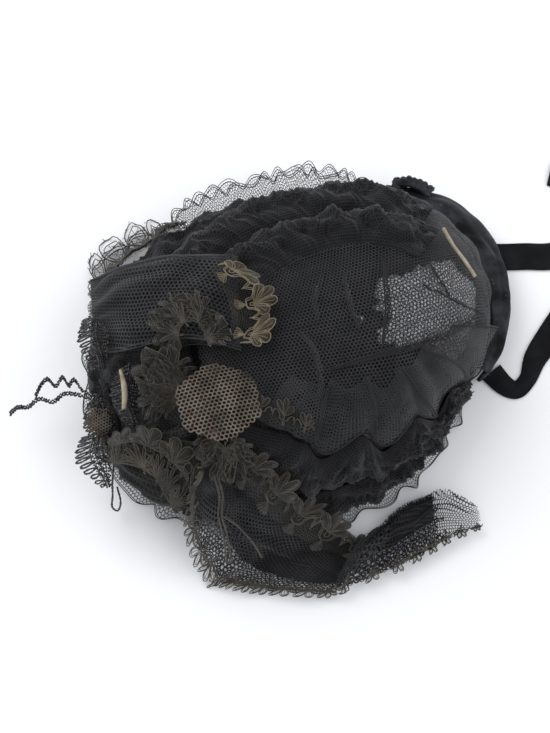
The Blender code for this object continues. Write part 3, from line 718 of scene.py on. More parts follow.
class Graph:
    """Short way of adding shader nodes to a material."""

    def __init__(self, material: bpy.types.Material) -> None:
        """Take hold of a material's nodes."""
        self.tree = material.node_tree
        self.shader = self.tree.nodes["Principled BSDF"]

    def node(self, kind: str, **values: object) -> bpy.types.Node:
        """Add a node.

        Args:
            kind: Type of the node.
            **values: Its settings, or values and links for its sockets, with _ for a space.

        Returns:
            The new node.
        """
        made = self.tree.nodes.new("ShaderNode" + kind)
        for name, value in values.items():
            if hasattr(made, name):
                setattr(made, name, value)
            else:
                self.feed(made.inputs[name.replace("_", " ")], value)
        return made

    def feed(self, socket: bpy.types.NodeSocket, value: object) -> None:
        """Set a socket, or link it where the value is another socket.

        Args:
            socket: The socket.
            value: A value, or another socket.
        """
        if isinstance(value, bpy.types.NodeSocket):
            self.tree.links.new(value, socket)
        elif hasattr(socket.default_value, "__len__") and len(value) == 3 and len(socket.default_value) == 4:
            socket.default_value = (*value, 1.0)
        else:
            socket.default_value = value

    def set(self, **values: object) -> None:
        """Set or link sockets of the main shader."""
        for name, value in values.items():
            self.feed(self.shader.inputs[name.replace("_", " ")], value)

    def place(self) -> bpy.types.NodeSocket:
        """Coordinates of the piece itself."""
        return self.node("TexCoord").outputs["Object"]

    def weave(self) -> bpy.types.NodeSocket:
        """Coordinates along the cloth, in metres."""
        return self.node("UVMap", uv_map="weave").outputs["UV"]

    def noise(self, scale: float, detail: float = 3.0, roughness: float = 0.55) -> bpy.types.NodeSocket:
        """Noise from 0 to 1 over the piece."""
        return self.node(
            "TexNoise", Vector=self.place(), Scale=scale, Detail=detail, Roughness=roughness,
        ).outputs["Fac"]

    def ramp(self, factor: bpy.types.NodeSocket, *stops: tuple[float, Colour]) -> bpy.types.NodeSocket:
        """Colour from a factor through stops of place and colour.

        Args:
            factor: What picks the colour.
            *stops: Places and their colours.

        Returns:
            The colour.
        """
        made = self.node("ValToRGB", Fac=factor)
        band = made.color_ramp.elements
        while len(band) < len(stops):
            band.new(0.5)
        for element, (place, colour) in zip(band, stops):
            element.position = place
            element.color = (*colour, 1.0)
        return made.outputs["Color"]

    def mix(self, factor: object, low: object, high: object, blend: str = "MIX") -> bpy.types.NodeSocket:
        """Colour between two by a factor."""
        made = self.node("Mix", data_type="RGBA", blend_type=blend)
        for socket, value in zip((made.inputs[0], made.inputs[6], made.inputs[7]), (factor, low, high)):
            self.feed(socket, value)
        return made.outputs[2]

    def maths(self, operation: str, first: object, second: object = 0.0) -> bpy.types.NodeSocket:
        """One sum on two values."""
        made = self.node("Math", operation=operation)
        self.feed(made.inputs[0], first)
        self.feed(made.inputs[1], second)
        return made.outputs[0]

    def bump(self, height: object, depth: float, strength: float = 1.0) -> bpy.types.NodeSocket:
        """Bumped normal, its depth in metres."""
        return self.node("Bump", Height=height, Distance=depth, Strength=strength).outputs["Normal"]


@dataclass(frozen=True)
class Finish:
    """A named look; each kind of finish dresses the material its own way."""

    name: str

    def material(self) -> bpy.types.Material:
        """The finish's material, made once."""
        made = bpy.data.materials.get(self.name)
        if made is None:
            made = bpy.data.materials.new(self.name)
            made.use_nodes = True
            self.dress(Graph(made))
        return made

    def dress(self, graph: Graph) -> None:
        """Add the finish's nodes."""
        raise NotImplementedError


@dataclass(frozen=True)
class Thread(Finish):
    """Cotton or silk thread, a little faded in places."""

    colour: Colour
    faded: Colour
    scale: float = 90.0
    sheen: float = 0.25

    def dress(self, graph: Graph) -> None:
        """Thread colour drifting to the faded one, with a soft sheen."""
        tint = graph.ramp(graph.noise(self.scale), (0.32, self.colour), (0.72, self.faded))
        ply = graph.node("TexWave", Vector=graph.place(), Scale=900.0, Distortion=1.5).outputs["Fac"]
        graph.set(
            Base_Color=tint, Roughness=0.82, Sheen_Weight=self.sheen, Sheen_Roughness=0.5,
            Normal=graph.bump(ply, 0.0001, 0.5), Specular_IOR_Level=0.25,
        )


@dataclass(frozen=True)
class NetCloth(Finish):
    """Net so gathered that its layers close: rows of small dark holes between threads."""

    colour: Colour
    hole: Colour
    pitch: float = 0.0015
    mortar: float = 0.15

    def dress(self, graph: Graph) -> None:
        """Rows of holes, bumped in, with a broad unevenness of tone."""
        holes = graph.node(
            "TexBrick", Vector=graph.weave(), Scale=1 / self.pitch, offset=0.5, Mortar_Size=self.mortar,
            Mortar_Smooth=0.35, Bias=0.0, Brick_Width=1.0, Row_Height=0.87,
        )
        thread = holes.outputs["Fac"]
        tone = graph.ramp(graph.noise(60.0), (0.3, (0.75, 0.75, 0.75)), (0.75, (1.15, 1.12, 1.1)))
        tint = graph.mix(thread, self.hole, self.colour)
        graph.set(
            Base_Color=graph.mix(1.0, tint, tone, "MULTIPLY"), Roughness=0.85, Sheen_Weight=0.14,
            Sheen_Roughness=0.5, Specular_IOR_Level=0.2, Normal=graph.bump(thread, 0.0003, 0.8),
        )


@dataclass(frozen=True)
class Clothwork(Finish):
    """Closely worked parts of lace: fine ribs over a mottled brown."""

    colour: Colour
    dark: Colour
    faded: Colour

    def dress(self, graph: Graph) -> None:
        """Fine ribs over mottled brown."""
        rib = graph.node("TexWave", Vector=graph.place(), Scale=420.0, Distortion=3.0).outputs["Fac"]
        patches = graph.ramp(graph.noise(140.0), (0.3, self.dark), (0.5, self.colour), (0.72, self.faded))
        graph.set(
            Base_Color=patches, Roughness=0.85, Sheen_Weight=0.2, Specular_IOR_Level=0.2,
            Normal=graph.bump(rib, 0.0002, 0.7),
        )


@dataclass(frozen=True)
class Velvet(Finish):
    """Black pile, grey where it catches the light, brown where it has worn."""

    colour: Colour
    gloss_and_wear_grey: Colour
    worn: Colour
    wear: float

    def dress(self, graph: Graph) -> None:
        """Pile noise, grey soft streaks that paint a highlight on the pile and partly its rubbed nap, and
        worn brown patches.
        """
        gloss_and_wear_streaks = graph.noise(70.0, 5.0, 0.6)
        pile = graph.noise(2600.0, 2.0)
        # painted highlight: grey streaks where the pile catches the light, partly rubbed nap
        base = graph.ramp(gloss_and_wear_streaks, (0.40, self.colour), (0.75, self.gloss_and_wear_grey))
        patches = graph.ramp(graph.noise(160.0, 4.0), (self.wear, (0, 0, 0)), (self.wear + 0.06, (1, 1, 1)))
        graph.set(
            Base_Color=graph.mix(patches, base, self.worn), Roughness=0.7, Sheen_Weight=0.10,
            Sheen_Roughness=0.35, Sheen_Tint=(0.55, 0.58, 0.66), Specular_IOR_Level=0.12,
            Normal=graph.bump(pile, 0.0003, 0.5),
        )


@dataclass(frozen=True)
class Jet(Finish):
    """Glossy black glass, dulled here and there."""

    colour: Colour
    dust: Colour

    def dress(self, graph: Graph) -> None:
        """Gloss that changes from bead to bead, with a little dust."""
        cell = graph.node("TexVoronoi", Vector=graph.place(), Scale=700.0).outputs["Color"]
        pick = graph.node("SeparateColor", Color=cell).outputs[0]
        dust = graph.ramp(graph.noise(300.0), (0.45, self.colour), (0.8, self.dust))
        rough = graph.maths("MULTIPLY_ADD", pick, 0.25)
        graph.feed(rough.node.inputs[2], 0.12)
        graph.set(Base_Color=dust, Roughness=rough, Coat_Weight=0.3)


@dataclass(frozen=True)
class StainedMesh(Finish):
    """Stiff tan mesh with brown and reddish stains."""

    colour: Colour
    stain: Colour
    rust: Colour

    def dress(self, graph: Graph) -> None:
        """Tan with broad brown stains and a few red-brown spots."""
        broad = graph.ramp(graph.noise(110.0, 5.0, 0.65), (0.38, self.colour), (0.62, self.stain))
        spots = graph.ramp(graph.noise(240.0, 2.0), (0.60, (0, 0, 0)), (0.70, (1, 1, 1)))
        fibre = graph.noise(1800.0, 3.0)
        graph.set(
            Base_Color=graph.mix(spots, broad, self.rust), Roughness=0.8, Specular_IOR_Level=0.25,
            Normal=graph.bump(fibre, 0.0002, 0.6),
        )


@dataclass(frozen=True)
class Wrapped(Finish):
    """Wire wound with thread: fine turns along it."""

    colour: Colour
    dirt: Colour
    turns: float = 700.0

    def dress(self, graph: Graph) -> None:
        """Turns of thread, dirty in places."""
        tint = graph.ramp(graph.noise(200.0), (0.4, self.colour), (0.75, self.dirt))
        turns = graph.node("TexWave", Vector=graph.place(), Scale=self.turns, Distortion=0.6).outputs["Fac"]
        graph.set(Base_Color=tint, Roughness=0.7, Normal=graph.bump(turns, 0.0002, 0.8))


@dataclass(frozen=True)
class Buckram(Finish):
    """Stiffened open weave of the foundation."""

    colour: Colour
    gap: Colour
    pitch: float = 0.0014

    def dress(self, graph: Graph) -> None:
        """Square weave in relief on a dark ground."""
        cells = graph.node("TexChecker", Vector=graph.place(), Scale=1 / self.pitch).outputs["Fac"]
        dirt = graph.ramp(graph.noise(80.0), (0.35, self.colour), (0.7, self.gap))
        graph.set(
            Base_Color=graph.mix(cells, dirt, self.gap), Roughness=0.9, Specular_IOR_Level=0.2,
            Normal=graph.bump(cells, 0.0002, 0.6),
        )


@dataclass(frozen=True)
class Paper(Finish):
    """Plain pale ground of the picture."""

    colour: Colour

    def dress(self, graph: Graph) -> None:
        """Nearly even pale ground."""
        r, g, b = self.colour
        tint = graph.ramp(graph.noise(6.0), (0.2, (r * 0.995, g * 0.995, b * 0.995)), (0.8, self.colour))
        graph.set(Base_Color=tint, Roughness=0.9, Specular_IOR_Level=0.1)


NET_THREAD = Thread("black_net_thread", (0.013, 0.0135, 0.016), (0.032, 0.032, 0.033))
# Darker, less glossy copy of the net thread: painted shade on lower, folded and edge layers; also the
# ribbons' selvage thread.
SHADED_DARK_THREAD = Thread("dark_lining_thread", (0.007, 0.007, 0.008), (0.016, 0.016, 0.017), sheen=0.1)
LACE_THREAD = Thread("black_lace_thread", (0.010, 0.009, 0.009), (0.032, 0.026, 0.020))
TAN_THREAD = Thread("tan_lace_cord", (0.105, 0.083, 0.050), (0.27, 0.225, 0.145), scale=120.0)
DULL_THREAD = Thread("brown_lace_cord", (0.024, 0.0205, 0.0150), (0.080, 0.069, 0.049), scale=110.0)
RUCHE_NET = NetCloth("gathered_black_net", (0.015, 0.0155, 0.0175), (0.0025, 0.0025, 0.003))
# Pale cloth that stands in for light seen through the crown's nets: painted light.
PAINTED_LIGHT_CLOTH = NetCloth("pale_pad_cloth", (0.90, 0.91, 0.94), (0.34, 0.35, 0.38), 0.0021, 0.2)
# Near-black cloth for sheets and cords that paint shade inside the crown, inside the loops and along the
# tucks.
PAINTED_SHADE_CLOTH = NetCloth("dark_backing_net", (0.010, 0.010, 0.011), (0.003, 0.003, 0.003), 0.0024, 0.2)
LACE_FILL = Clothwork(
    "brown_lace_clothwork", (0.034, 0.026, 0.016), (0.013, 0.010, 0.008), (0.066, 0.050, 0.031),
)
DARK_FILL = Clothwork(
    "dark_lace_clothwork", (0.017, 0.0142, 0.0108), (0.007, 0.0065, 0.0056), (0.034, 0.0285, 0.0205),
)
# The grey after each velvet's black paints highlight streaks on the pile, partly rubbed nap.
BLACK_VELVET = Velvet(
    "black_velvet", (0.003, 0.003, 0.0035), (0.050, 0.053, 0.062), (0.110, 0.065, 0.040), 0.66,
)
RIBBON_VELVET = Velvet(
    "ribbon_velvet", (0.0035, 0.0035, 0.004), (0.012, 0.013, 0.015), (0.05, 0.03, 0.02), 0.86,
)
JET_BEAD = Jet("jet_bead", (0.006, 0.006, 0.008), (0.035, 0.032, 0.030))
TAN_MESH = StainedMesh("tan_stiff_mesh", (0.165, 0.137, 0.103), (0.048, 0.038, 0.030), (0.09, 0.040, 0.030))
CREAM = Wrapped("cream_wrapped_stem", (0.46, 0.40, 0.30), (0.20, 0.155, 0.10))
WIRE_COVER = Wrapped("black_wrapped_wire", (0.030, 0.030, 0.032), (0.014, 0.014, 0.015))
FOUNDATION = Buckram("black_buckram", (0.045, 0.043, 0.042), (0.012, 0.012, 0.012))
GROUND = Paper("pale_ground", (0.93, 0.935, 0.95))


# ---------------------------------------------------------------- making pieces


@dataclass
class Soft:
    """Soft unevenness: a sum of waves with fixed random directions, from -1 to 1."""

    seed: int
    count: int = 7
    coarse: float = 1.0
    fine: float = 4.0

    def __post_init__(self) -> None:
        """Draw the waves."""
        draw = np.random.default_rng(self.seed)
        turn = draw.uniform(0, math.tau, self.count)
        rate = draw.uniform(self.coarse, self.fine, self.count)
        self.rates = np.stack([rate * np.cos(turn), rate * np.sin(turn)])
        self.starts = draw.uniform(0, math.tau, self.count)

    def at(self, x: Array, y: Array) -> Array:
        """Value at places."""
        waves = np.sin(math.tau * (np.outer(x, self.rates[0]) + np.outer(y, self.rates[1])) + self.starts)
        return waves.mean(1) * 1.6


def in_scene(name: str, data: bpy.types.ID) -> Piece:
    """New object, linked into the scene."""
    made = bpy.data.objects.new(name, data)
    bpy.context.scene.collection.objects.link(made)
    return made


def mesh_of(name: str, shape: bmesh.types.BMesh) -> bpy.types.Mesh:
    """New mesh with a shape's faces. The shape is let go."""
    mesh = bpy.data.meshes.new(name)
    shape.to_mesh(mesh)
    shape.free()
    return mesh


def walled(piece: Piece, thickness: float, offset: float = -1.0) -> Piece:
    """Give a piece a wall, under its face or, at an offset of 0, to both sides."""
    wall = piece.modifiers.new("wall", "SOLIDIFY")
    wall.thickness = thickness
    wall.offset = offset
    return piece


def cut_size(area: float, width: float) -> tuple[float, float]:
    """Length and width of a cloth of an area, never narrower than a sheet may be stated."""
    width = max(width, NARROWEST_CUT)
    return area / width, width


@dataclass
class Bench:
    """Keeps the list of finished pieces and turns shapes into pieces."""

    made: list[Piece] = field(default_factory=list)

    def keep(self, name: str, data: bpy.types.ID, finish: Finish, slot: str) -> Piece:
        """Finished piece of the bonnet.

        Args:
            name: Name of the piece.
            data: Its mesh or curve.
            finish: Its finish.
            slot: Material slot of the record that it belongs to; not used.

        Returns:
            The piece, riding on the bonnet.
        """
        piece = in_scene(name, data)
        data.materials.append(finish.material())
        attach(piece, "root")
        self.made.append(piece)
        return piece

    def report(self) -> None:
        """Log every piece with its triangles."""
        depsgraph = bpy.context.evaluated_depsgraph_get()
        total = 0
        for piece in self.made:
            shape = piece.evaluated_get(depsgraph)
            mesh = shape.to_mesh()
            mesh.calc_loop_triangles()
            count = len(mesh.loop_triangles)
            total += count
            LOG.info("%s: %d triangles", piece.name, count)
            shape.to_mesh_clear()
        LOG.info("all pieces: %d triangles", total)


BENCH = Bench()


def flat_net(width: float, depth: float, pitch: float, bar: float) -> bpy.types.Mesh:
    """Flat net of six-sided cells, its corner at the origin.

    Args:
        width: Size along X.
        depth: Size along Y.
        pitch: Distance from cell to cell.
        bar: Thickness of the threads between two cells.

    Returns:
        A mesh of the threads alone.
    """
    shape = bmesh.new()
    row = pitch * math.sin(math.radians(60))
    for line in range(2):
        spot = Matrix.Translation((pitch * line / 2, row * line, 0.0))
        bmesh.ops.create_circle(shape, cap_ends=True, segments=6, radius=pitch / math.sqrt(3), matrix=spot)
    threads = bmesh.ops.inset_individual(shape, faces=shape.faces[:], thickness=bar / 2)["faces"]
    bmesh.ops.delete(shape, geom=[face for face in shape.faces if face not in set(threads)], context="FACES")
    pattern = in_scene("cells", mesh_of("cells", shape))
    for axis, step, size in ((0, pitch, width), (1, 2 * row, depth)):
        rows = pattern.modifiers.new("rows", "ARRAY")
        rows.use_relative_offset = False
        rows.use_constant_offset = True
        rows.constant_offset_displace = (step, 0, 0) if axis == 0 else (0, step, 0)
        rows.count = max(1, math.ceil(size / step) + 1)
    bpy.context.view_layer.update()
    flat = bpy.data.meshes.new_from_object(pattern.evaluated_get(bpy.context.evaluated_depsgraph_get()))
    bpy.data.objects.remove(pattern)
    return flat


def corners_of(mesh: bpy.types.Mesh) -> Array:
    """Corner positions of a mesh."""
    places = np.empty(len(mesh.vertices) * 3)
    mesh.vertices.foreach_get("co", places)
    return places.reshape(-1, 3)


def lie_of(node: str) -> tuple[Array, Array, Array]:
    """Corners of a solid, the middle of their box and their main axes, the longest first."""
    corners = corners_of(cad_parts[node].data)
    _, _, axes = np.linalg.svd(corners - corners.mean(0), full_matrices=False)
    return corners, (corners.min(0) + corners.max(0)) / 2, axes


def put_corners(mesh: bpy.types.Mesh, places: Array, keep: Array, join: bool = True) -> bpy.types.Mesh:
    """Move a mesh's corners and drop those that aren't kept.

    Args:
        mesh: The mesh.
        places: A new place for each corner.
        keep: Which corners stay.
        join: Whether doubles are joined.

    Returns:
        The same mesh.
    """
    mesh.vertices.foreach_set("co", places.ravel())
    shape = bmesh.new()
    shape.from_mesh(mesh)
    shape.verts.ensure_lookup_table()
    lost = [shape.verts[index] for index in np.flatnonzero(~keep)]
    bmesh.ops.delete(shape, geom=lost, context="VERTS")
    if join:
        bmesh.ops.remove_doubles(shape, verts=shape.verts, dist=MERGE)
    shape.to_mesh(mesh)
    shape.free()
    mesh.shade_smooth()
    return mesh


def anywhere(u: Array, v: Array) -> Array:
    """Keep every place."""
    return np.ones(len(u), bool)


def no_lift(u: Array, v: Array) -> Array:
    """Lift of nothing anywhere."""
    return np.zeros(len(u))


@dataclass
class NetSheet:
    """Net laid along a patch: its cells follow the cloth's own length and width."""

    name: str
    patch: Patch
    pitch: float
    bar: float
    turn: float = 0.0
    keep: Keep = anywhere
    lift: Keep = no_lift
    edge: tuple[float, float, float, float] = (0.0, 1.0, 0.0, 1.0)
    kept: float = 1.0

    def coverage(self) -> float:
        """Share of the cloth's rectangle that is thread, at least what a sheet may state."""
        return max(LEAST_THREAD, (1 - ((self.pitch - self.bar) / self.pitch) ** 2) * self.kept)

    def build(self, finish: Finish, slot: str) -> Piece:
        """Net piece on the patch.

        Args:
            finish: Its finish.
            slot: Material slot.

        Returns:
            The piece.
        """
        long, wide = self.patch.size()
        reach = math.hypot(long, wide)
        flat = flat_net(2 * reach, 2 * reach, self.pitch, self.bar)
        places = corners_of(flat)[:, :2] - reach
        turn = math.radians(self.turn)
        x = places[:, 0] * math.cos(turn) - places[:, 1] * math.sin(turn) + long / 2
        y = places[:, 0] * math.sin(turn) + places[:, 1] * math.cos(turn) + wide / 2
        u, v = x / long, y / wide
        low_u, high_u, low_v, high_v = self.edge
        inside = (u >= low_u) & (u <= high_u) & (v >= low_v) & (v <= high_v)
        whole = inside.sum()
        inside[inside] &= self.keep(u[inside], v[inside])
        self.kept = float(inside.sum() / max(whole, 1))
        where = np.zeros((len(u), 3))
        where[inside] = self.patch.lifted(u[inside], v[inside], self.lift(u[inside], v[inside]))
        return BENCH.keep(self.name, put_corners(flat, where, inside), finish, slot)


@dataclass
class SolidSheet:
    """Closely gathered cloth on a patch: a smooth surface with a wall."""

    name: str
    patch: Patch
    columns: int
    lines: int
    wall: float = 0.0005
    keep: Keep = anywhere
    lift: Keep = no_lift
    edge: tuple[float, float, float, float] = (0.0, 1.0, 0.0, 1.0)

    def build(self, finish: Finish, slot: str) -> Piece:
        """Cloth piece on the patch.

        Args:
            finish: Its finish.
            slot: Material slot.

        Returns:
            The piece.
        """
        long, wide = self.patch.size()
        shape = bmesh.new()
        bmesh.ops.create_grid(shape, x_segments=self.columns, y_segments=self.lines, size=1.0)
        mesh = mesh_of(self.name, shape)
        plan = corners_of(mesh)
        low_u, high_u, low_v, high_v = self.edge
        u = low_u + (high_u - low_u) * (plan[:, 0] - plan[:, 0].min()) / np.ptp(plan[:, 0])
        v = low_v + (high_v - low_v) * (plan[:, 1] - plan[:, 1].min()) / np.ptp(plan[:, 1])
        weave = mesh.uv_layers.new(name="weave")
        corner = np.empty(len(mesh.loops), int)
        mesh.loops.foreach_get("vertex_index", corner)
        weave.data.foreach_set("uv", np.stack([u[corner] * long, v[corner] * wide], 1).ravel())
        places = self.patch.lifted(u, v, self.lift(u, v))
        put_corners(mesh, places, self.keep(u, v), False)
        return walled(BENCH.keep(self.name, mesh, finish, slot), self.wall, 0.0)


def cords(
    name: str, paths: list[Array], width: float, finish: Finish, slot: str,
    weights: list[float] | None = None,
) -> Piece:
    """Round threads through paths of points.

    Args:
        name: Name of the piece.
        paths: One array of points for each thread.
        width: Thickness of the threads.
        finish: Their finish.
        slot: Material slot.
        weights: Thickness of each thread as a share of the width.

    Returns:
        The piece.
    """
    curve = bpy.data.curves.new(name, "CURVE")
    curve.dimensions = "3D"
    curve.bevel_depth = width / 2
    curve.bevel_resolution = 0
    curve.use_fill_caps = True
    for path, weight in zip(paths, weights or [1.0] * len(paths)):
        spline = curve.splines.new("POLY")
        spline.points.add(len(path) - 1)
        spline.points.foreach_set("radius", np.full(len(path), weight))
        spline.points.foreach_set("co", np.concatenate([path, np.ones((len(path), 1))], 1).ravel())
    return BENCH.keep(name, curve, finish, slot)


def beads(
    name: str, places: Array, size: float, finish: Finish, slot: str, seed: int = 3,
) -> Piece:
    """Small beads at places, each turned and sized a little differently.

    Args:
        name: Name of the piece.
        places: Middles of the beads.
        size: Their mean width.
        finish: Their finish.
        slot: Material slot.
        seed: Start of the random draws.

    Returns:
        The piece.
    """
    draw = np.random.default_rng(seed)
    shape = bmesh.new()
    for place in places:
        turn = Matrix.Rotation(draw.uniform(0, math.tau), 4, Vector(draw.normal(size=3)).normalized())
        matrix = Matrix.Translation(Vector(place)) @ turn @ Matrix.Scale(draw.uniform(0.85, 1.15), 4)
        bmesh.ops.create_icosphere(shape, subdivisions=1, radius=size / 2, matrix=matrix)
    return BENCH.keep(name, mesh_of(name, shape), finish, slot)


def spaced(path: Array, gap: float) -> Array:
    """Points along a path at an even gap."""
    steps = np.linalg.norm(np.diff(path, axis=0), axis=1)
    run = np.concatenate([[0.0], np.cumsum(steps)])
    marks = np.linspace(0, run[-1], max(2, round(run[-1] / gap) + 1))
    return np.stack([np.interp(marks, run, path[:, axis]) for axis in range(3)], 1)


def on_curve(points: Array, share: Array) -> Array:
    """Places on a smooth curve through points.

    Args:
        points: One point in each row.
        share: How far along the curve each place lies.

    Returns:
        The places, in rows.
    """
    full = run_on(points)
    index, weight = Patch.weights(share, len(points))
    return sum(weight[:, k:k + 1] * full[index + k] for k in range(4))


def smooth(points: Sequence[Sequence[float]], steps: int = 8) -> Array:
    """Smooth line through points, with even steps from one to the next."""
    given = np.array(points, float)
    return on_curve(given, np.linspace(0, 1, steps * (len(given) - 1) + 1))


# ---------------------------------------------------------------- lace shapes


@dataclass(frozen=True)
class Petal:
    """Teardrop of lace: where it starts, which way it points, its length and its width."""

    x: float
    y: float
    turn: float
    length: float
    width: float

    def turned(self, along: Array, across: Array) -> Array:
        """Plan points from distances along and across the petal."""
        turn = math.radians(self.turn)
        return np.stack([
            self.x + along * math.cos(turn) - across * math.sin(turn),
            self.y + along * math.sin(turn) + across * math.cos(turn),
        ], 1)

    def outline(self, steps: int = 14, shrink: float = 1.0) -> Array:
        """Closed outline, from the stem round the tip and back."""
        share = np.linspace(0, math.tau, steps + 1)
        along = (1 - np.cos(share)) / 2
        across = np.sin(share) * np.sqrt(np.clip(along, 0, 1)) * self.width / 2 * shrink
        return self.turned((along * shrink + (1 - shrink) * 0.6) * self.length, across)

    def ribs(self, count: int) -> list[Array]:
        """Fine lines from the stem towards the tip."""
        lines = []
        for rib in range(count):
            lean = (rib - (count - 1) / 2) / max(count, 2) * 1.1 * self.width / self.length
            along = np.linspace(0.12, 0.86 - 0.2 * abs(lean), 5) * self.length
            lines.append(self.turned(along, lean * along))
        return lines


@dataclass(frozen=True)
class Palmette:
    """Lace motif: an outer fan of petals, an eyelet, a small bud inwards and double scrolls.

    Its sizes are shares of the band's width. Its plan runs from the outer edge at 0 inwards.
    """

    petals: int = 4
    spread: float = 46.0
    width: float = 0.25
    eye: float = 0.055
    eye_at: float = 0.60
    bud_at: float = 0.76
    buds: int = 5
    bud_width: float = 0.055
    scroll: bool = True
    ribs: int = 2

    def fan(self) -> list[Petal]:
        """The outer fan of petals."""
        made = []
        for petal in range(self.petals):
            lean = (petal / (self.petals - 1) - 0.5) * 2
            length = (self.eye_at - self.eye) * (1.06 - 0.16 * lean * lean)
            turn = -90 + lean * self.spread
            made.append(Petal(0.025 * lean, self.eye_at - self.eye, turn, length, self.width))
        return made

    def bud(self) -> list[Petal]:
        """The narrow petals of the bud on the inner side."""
        made = []
        for petal in range(self.buds):
            lean = petal - (self.buds - 1) / 2
            made.append(Petal(0.0, self.bud_at, 90 + lean * 17, (1.02 - self.bud_at), self.bud_width * 1.6))
        return made

    def lines(self, half: float) -> list[Array]:
        """The eyelet and the double scrolls round it, reaching half a motif to each side."""
        turn = np.linspace(0, math.tau, 11)
        made = [np.stack([self.eye * np.cos(turn), self.eye_at + self.eye * np.sin(turn)], 1)]
        if self.scroll:
            for side in (-1, 1):
                for gap in (0.0, 0.04):
                    made.append(smooth([
                        (0.0, self.bud_at - gap * 0.5), (side * (0.36 * half - gap), self.eye_at + 0.10),
                        (side * (0.46 * half - gap), self.eye_at - 0.04),
                        (side * (0.80 * half - gap), self.eye_at - 0.16),
                        (side * (0.98 * half - gap), self.eye_at - 0.04),
                        (side * half, self.eye_at + 0.1 - gap),
                    ], 4))
        return made


@dataclass
class LaceBand:
    """Band of motifs along a patch: filled petals and raised cords.

    The band's outer edge is at v of 0, or of 1 where it is flipped, and it takes the part of
    the patch's width that deep says.
    """

    name: str
    patch: Patch
    motifs: int
    motif: Palmette
    slot: str
    cord: float = 0.00035
    lift: float = 0.0006
    outward: float = 0.0
    deep: float = 1.0
    picots: int = 0
    double: bool = False
    ripple: Keep = no_lift
    flip: bool = False
    wall: float = 0.0003

    def half(self) -> float:
        """Half of a motif's length, as a share of the band's width."""
        long, wide = self.patch.size()
        return long / self.motifs / (wide * self.deep) / 2

    def placed(self, line: Array, number: int, lift: float) -> Array:
        """Points of a motif's own plan line on the patch.

        Args:
            line: Plan points, in shares of the band's width.
            number: Which motif.
            lift: Height over the cloth.

        Returns:
            One point in each row.
        """
        u = (number + 0.5 + line[:, 0] / self.half() / 2) / self.motifs
        v = line[:, 1] * self.deep - self.outward
        if self.flip:
            v = 1 - v
        return self.patch.lifted(u, v, self.ripple(u, v) + lift)

    def build(self, filled: Finish | None, corded: Finish) -> list[Piece]:
        """The pieces of the band: clothwork, where it has any, and cords."""
        return ([self.fill(filled)] if filled else []) + [self.outline(corded)]

    def fill(self, finish: Finish) -> Piece:
        """Filled petals as one piece."""
        shape = bmesh.new()
        for number in range(self.motifs):
            for petal in self.motif.fan() + self.motif.bud():
                outline = self.placed(petal.outline(12, 0.96)[:-1], number, self.lift)
                made = bmesh.ops.create_circle(shape, cap_ends=True, cap_tris=True, segments=12, radius=1.0)
                middle = Vector(outline.mean(0))
                rim = [corner for corner in made["verts"] if corner.co.length > 0.5]
                rim.sort(key=lambda corner: math.atan2(corner.co.y, corner.co.x))
                for corner in made["verts"]:
                    if corner.co.length <= 0.5:
                        corner.co = middle
                for corner, place in zip(rim, outline):
                    corner.co = Vector(place)
        bmesh.ops.recalc_face_normals(shape, faces=shape.faces)
        mesh = mesh_of(self.name + "_clothwork", shape)
        mesh.shade_smooth()
        return walled(BENCH.keep(self.name + "_clothwork", mesh, finish, self.slot), self.wall)

    def outline(self, finish: Finish) -> Piece:
        """Cords round petals, along ribs and scrolls, and picots on the outer edge."""
        paths, weights = [], []

        def add(line: Array, number: int, lift: float, weight: float) -> None:
            """Note a thread and its thickness."""
            paths.append(self.placed(line, number, self.lift + lift))
            weights.append(weight)

        draw = np.random.default_rng(len(self.name))
        for number in range(self.motifs):
            for petal in self.motif.fan():
                edge = petal.outline(24 if self.double else 15)
                add(edge, number, self.cord * 0.6, 1.0)
                if self.double:
                    add(petal.outline(13, 0.72), number, self.cord * 0.5, 0.8)
                for rib in petal.ribs(self.motif.ribs):
                    add(rib, number, self.cord * 0.4, 0.5)
                for _ in range(self.picots):
                    at = edge[draw.integers(len(edge) // 4, 3 * len(edge) // 4)]
                    away = draw.uniform(-0.05, 0.05, 2) + (0, -0.04)
                    add(np.stack([at, at + away * 0.6, at + away]), number, 0.0, 0.45)
            for petal in self.motif.bud():
                add(petal.outline(9), number, self.cord * 0.5, 0.6)
            for line in self.motif.lines(self.half()):
                add(line, number, self.cord * 0.6, 0.9)
        return cords(self.name + "_cords", paths, self.cord, finish, self.slot, weights)


# ---------------------------------------------------------------- the bonnet's pieces


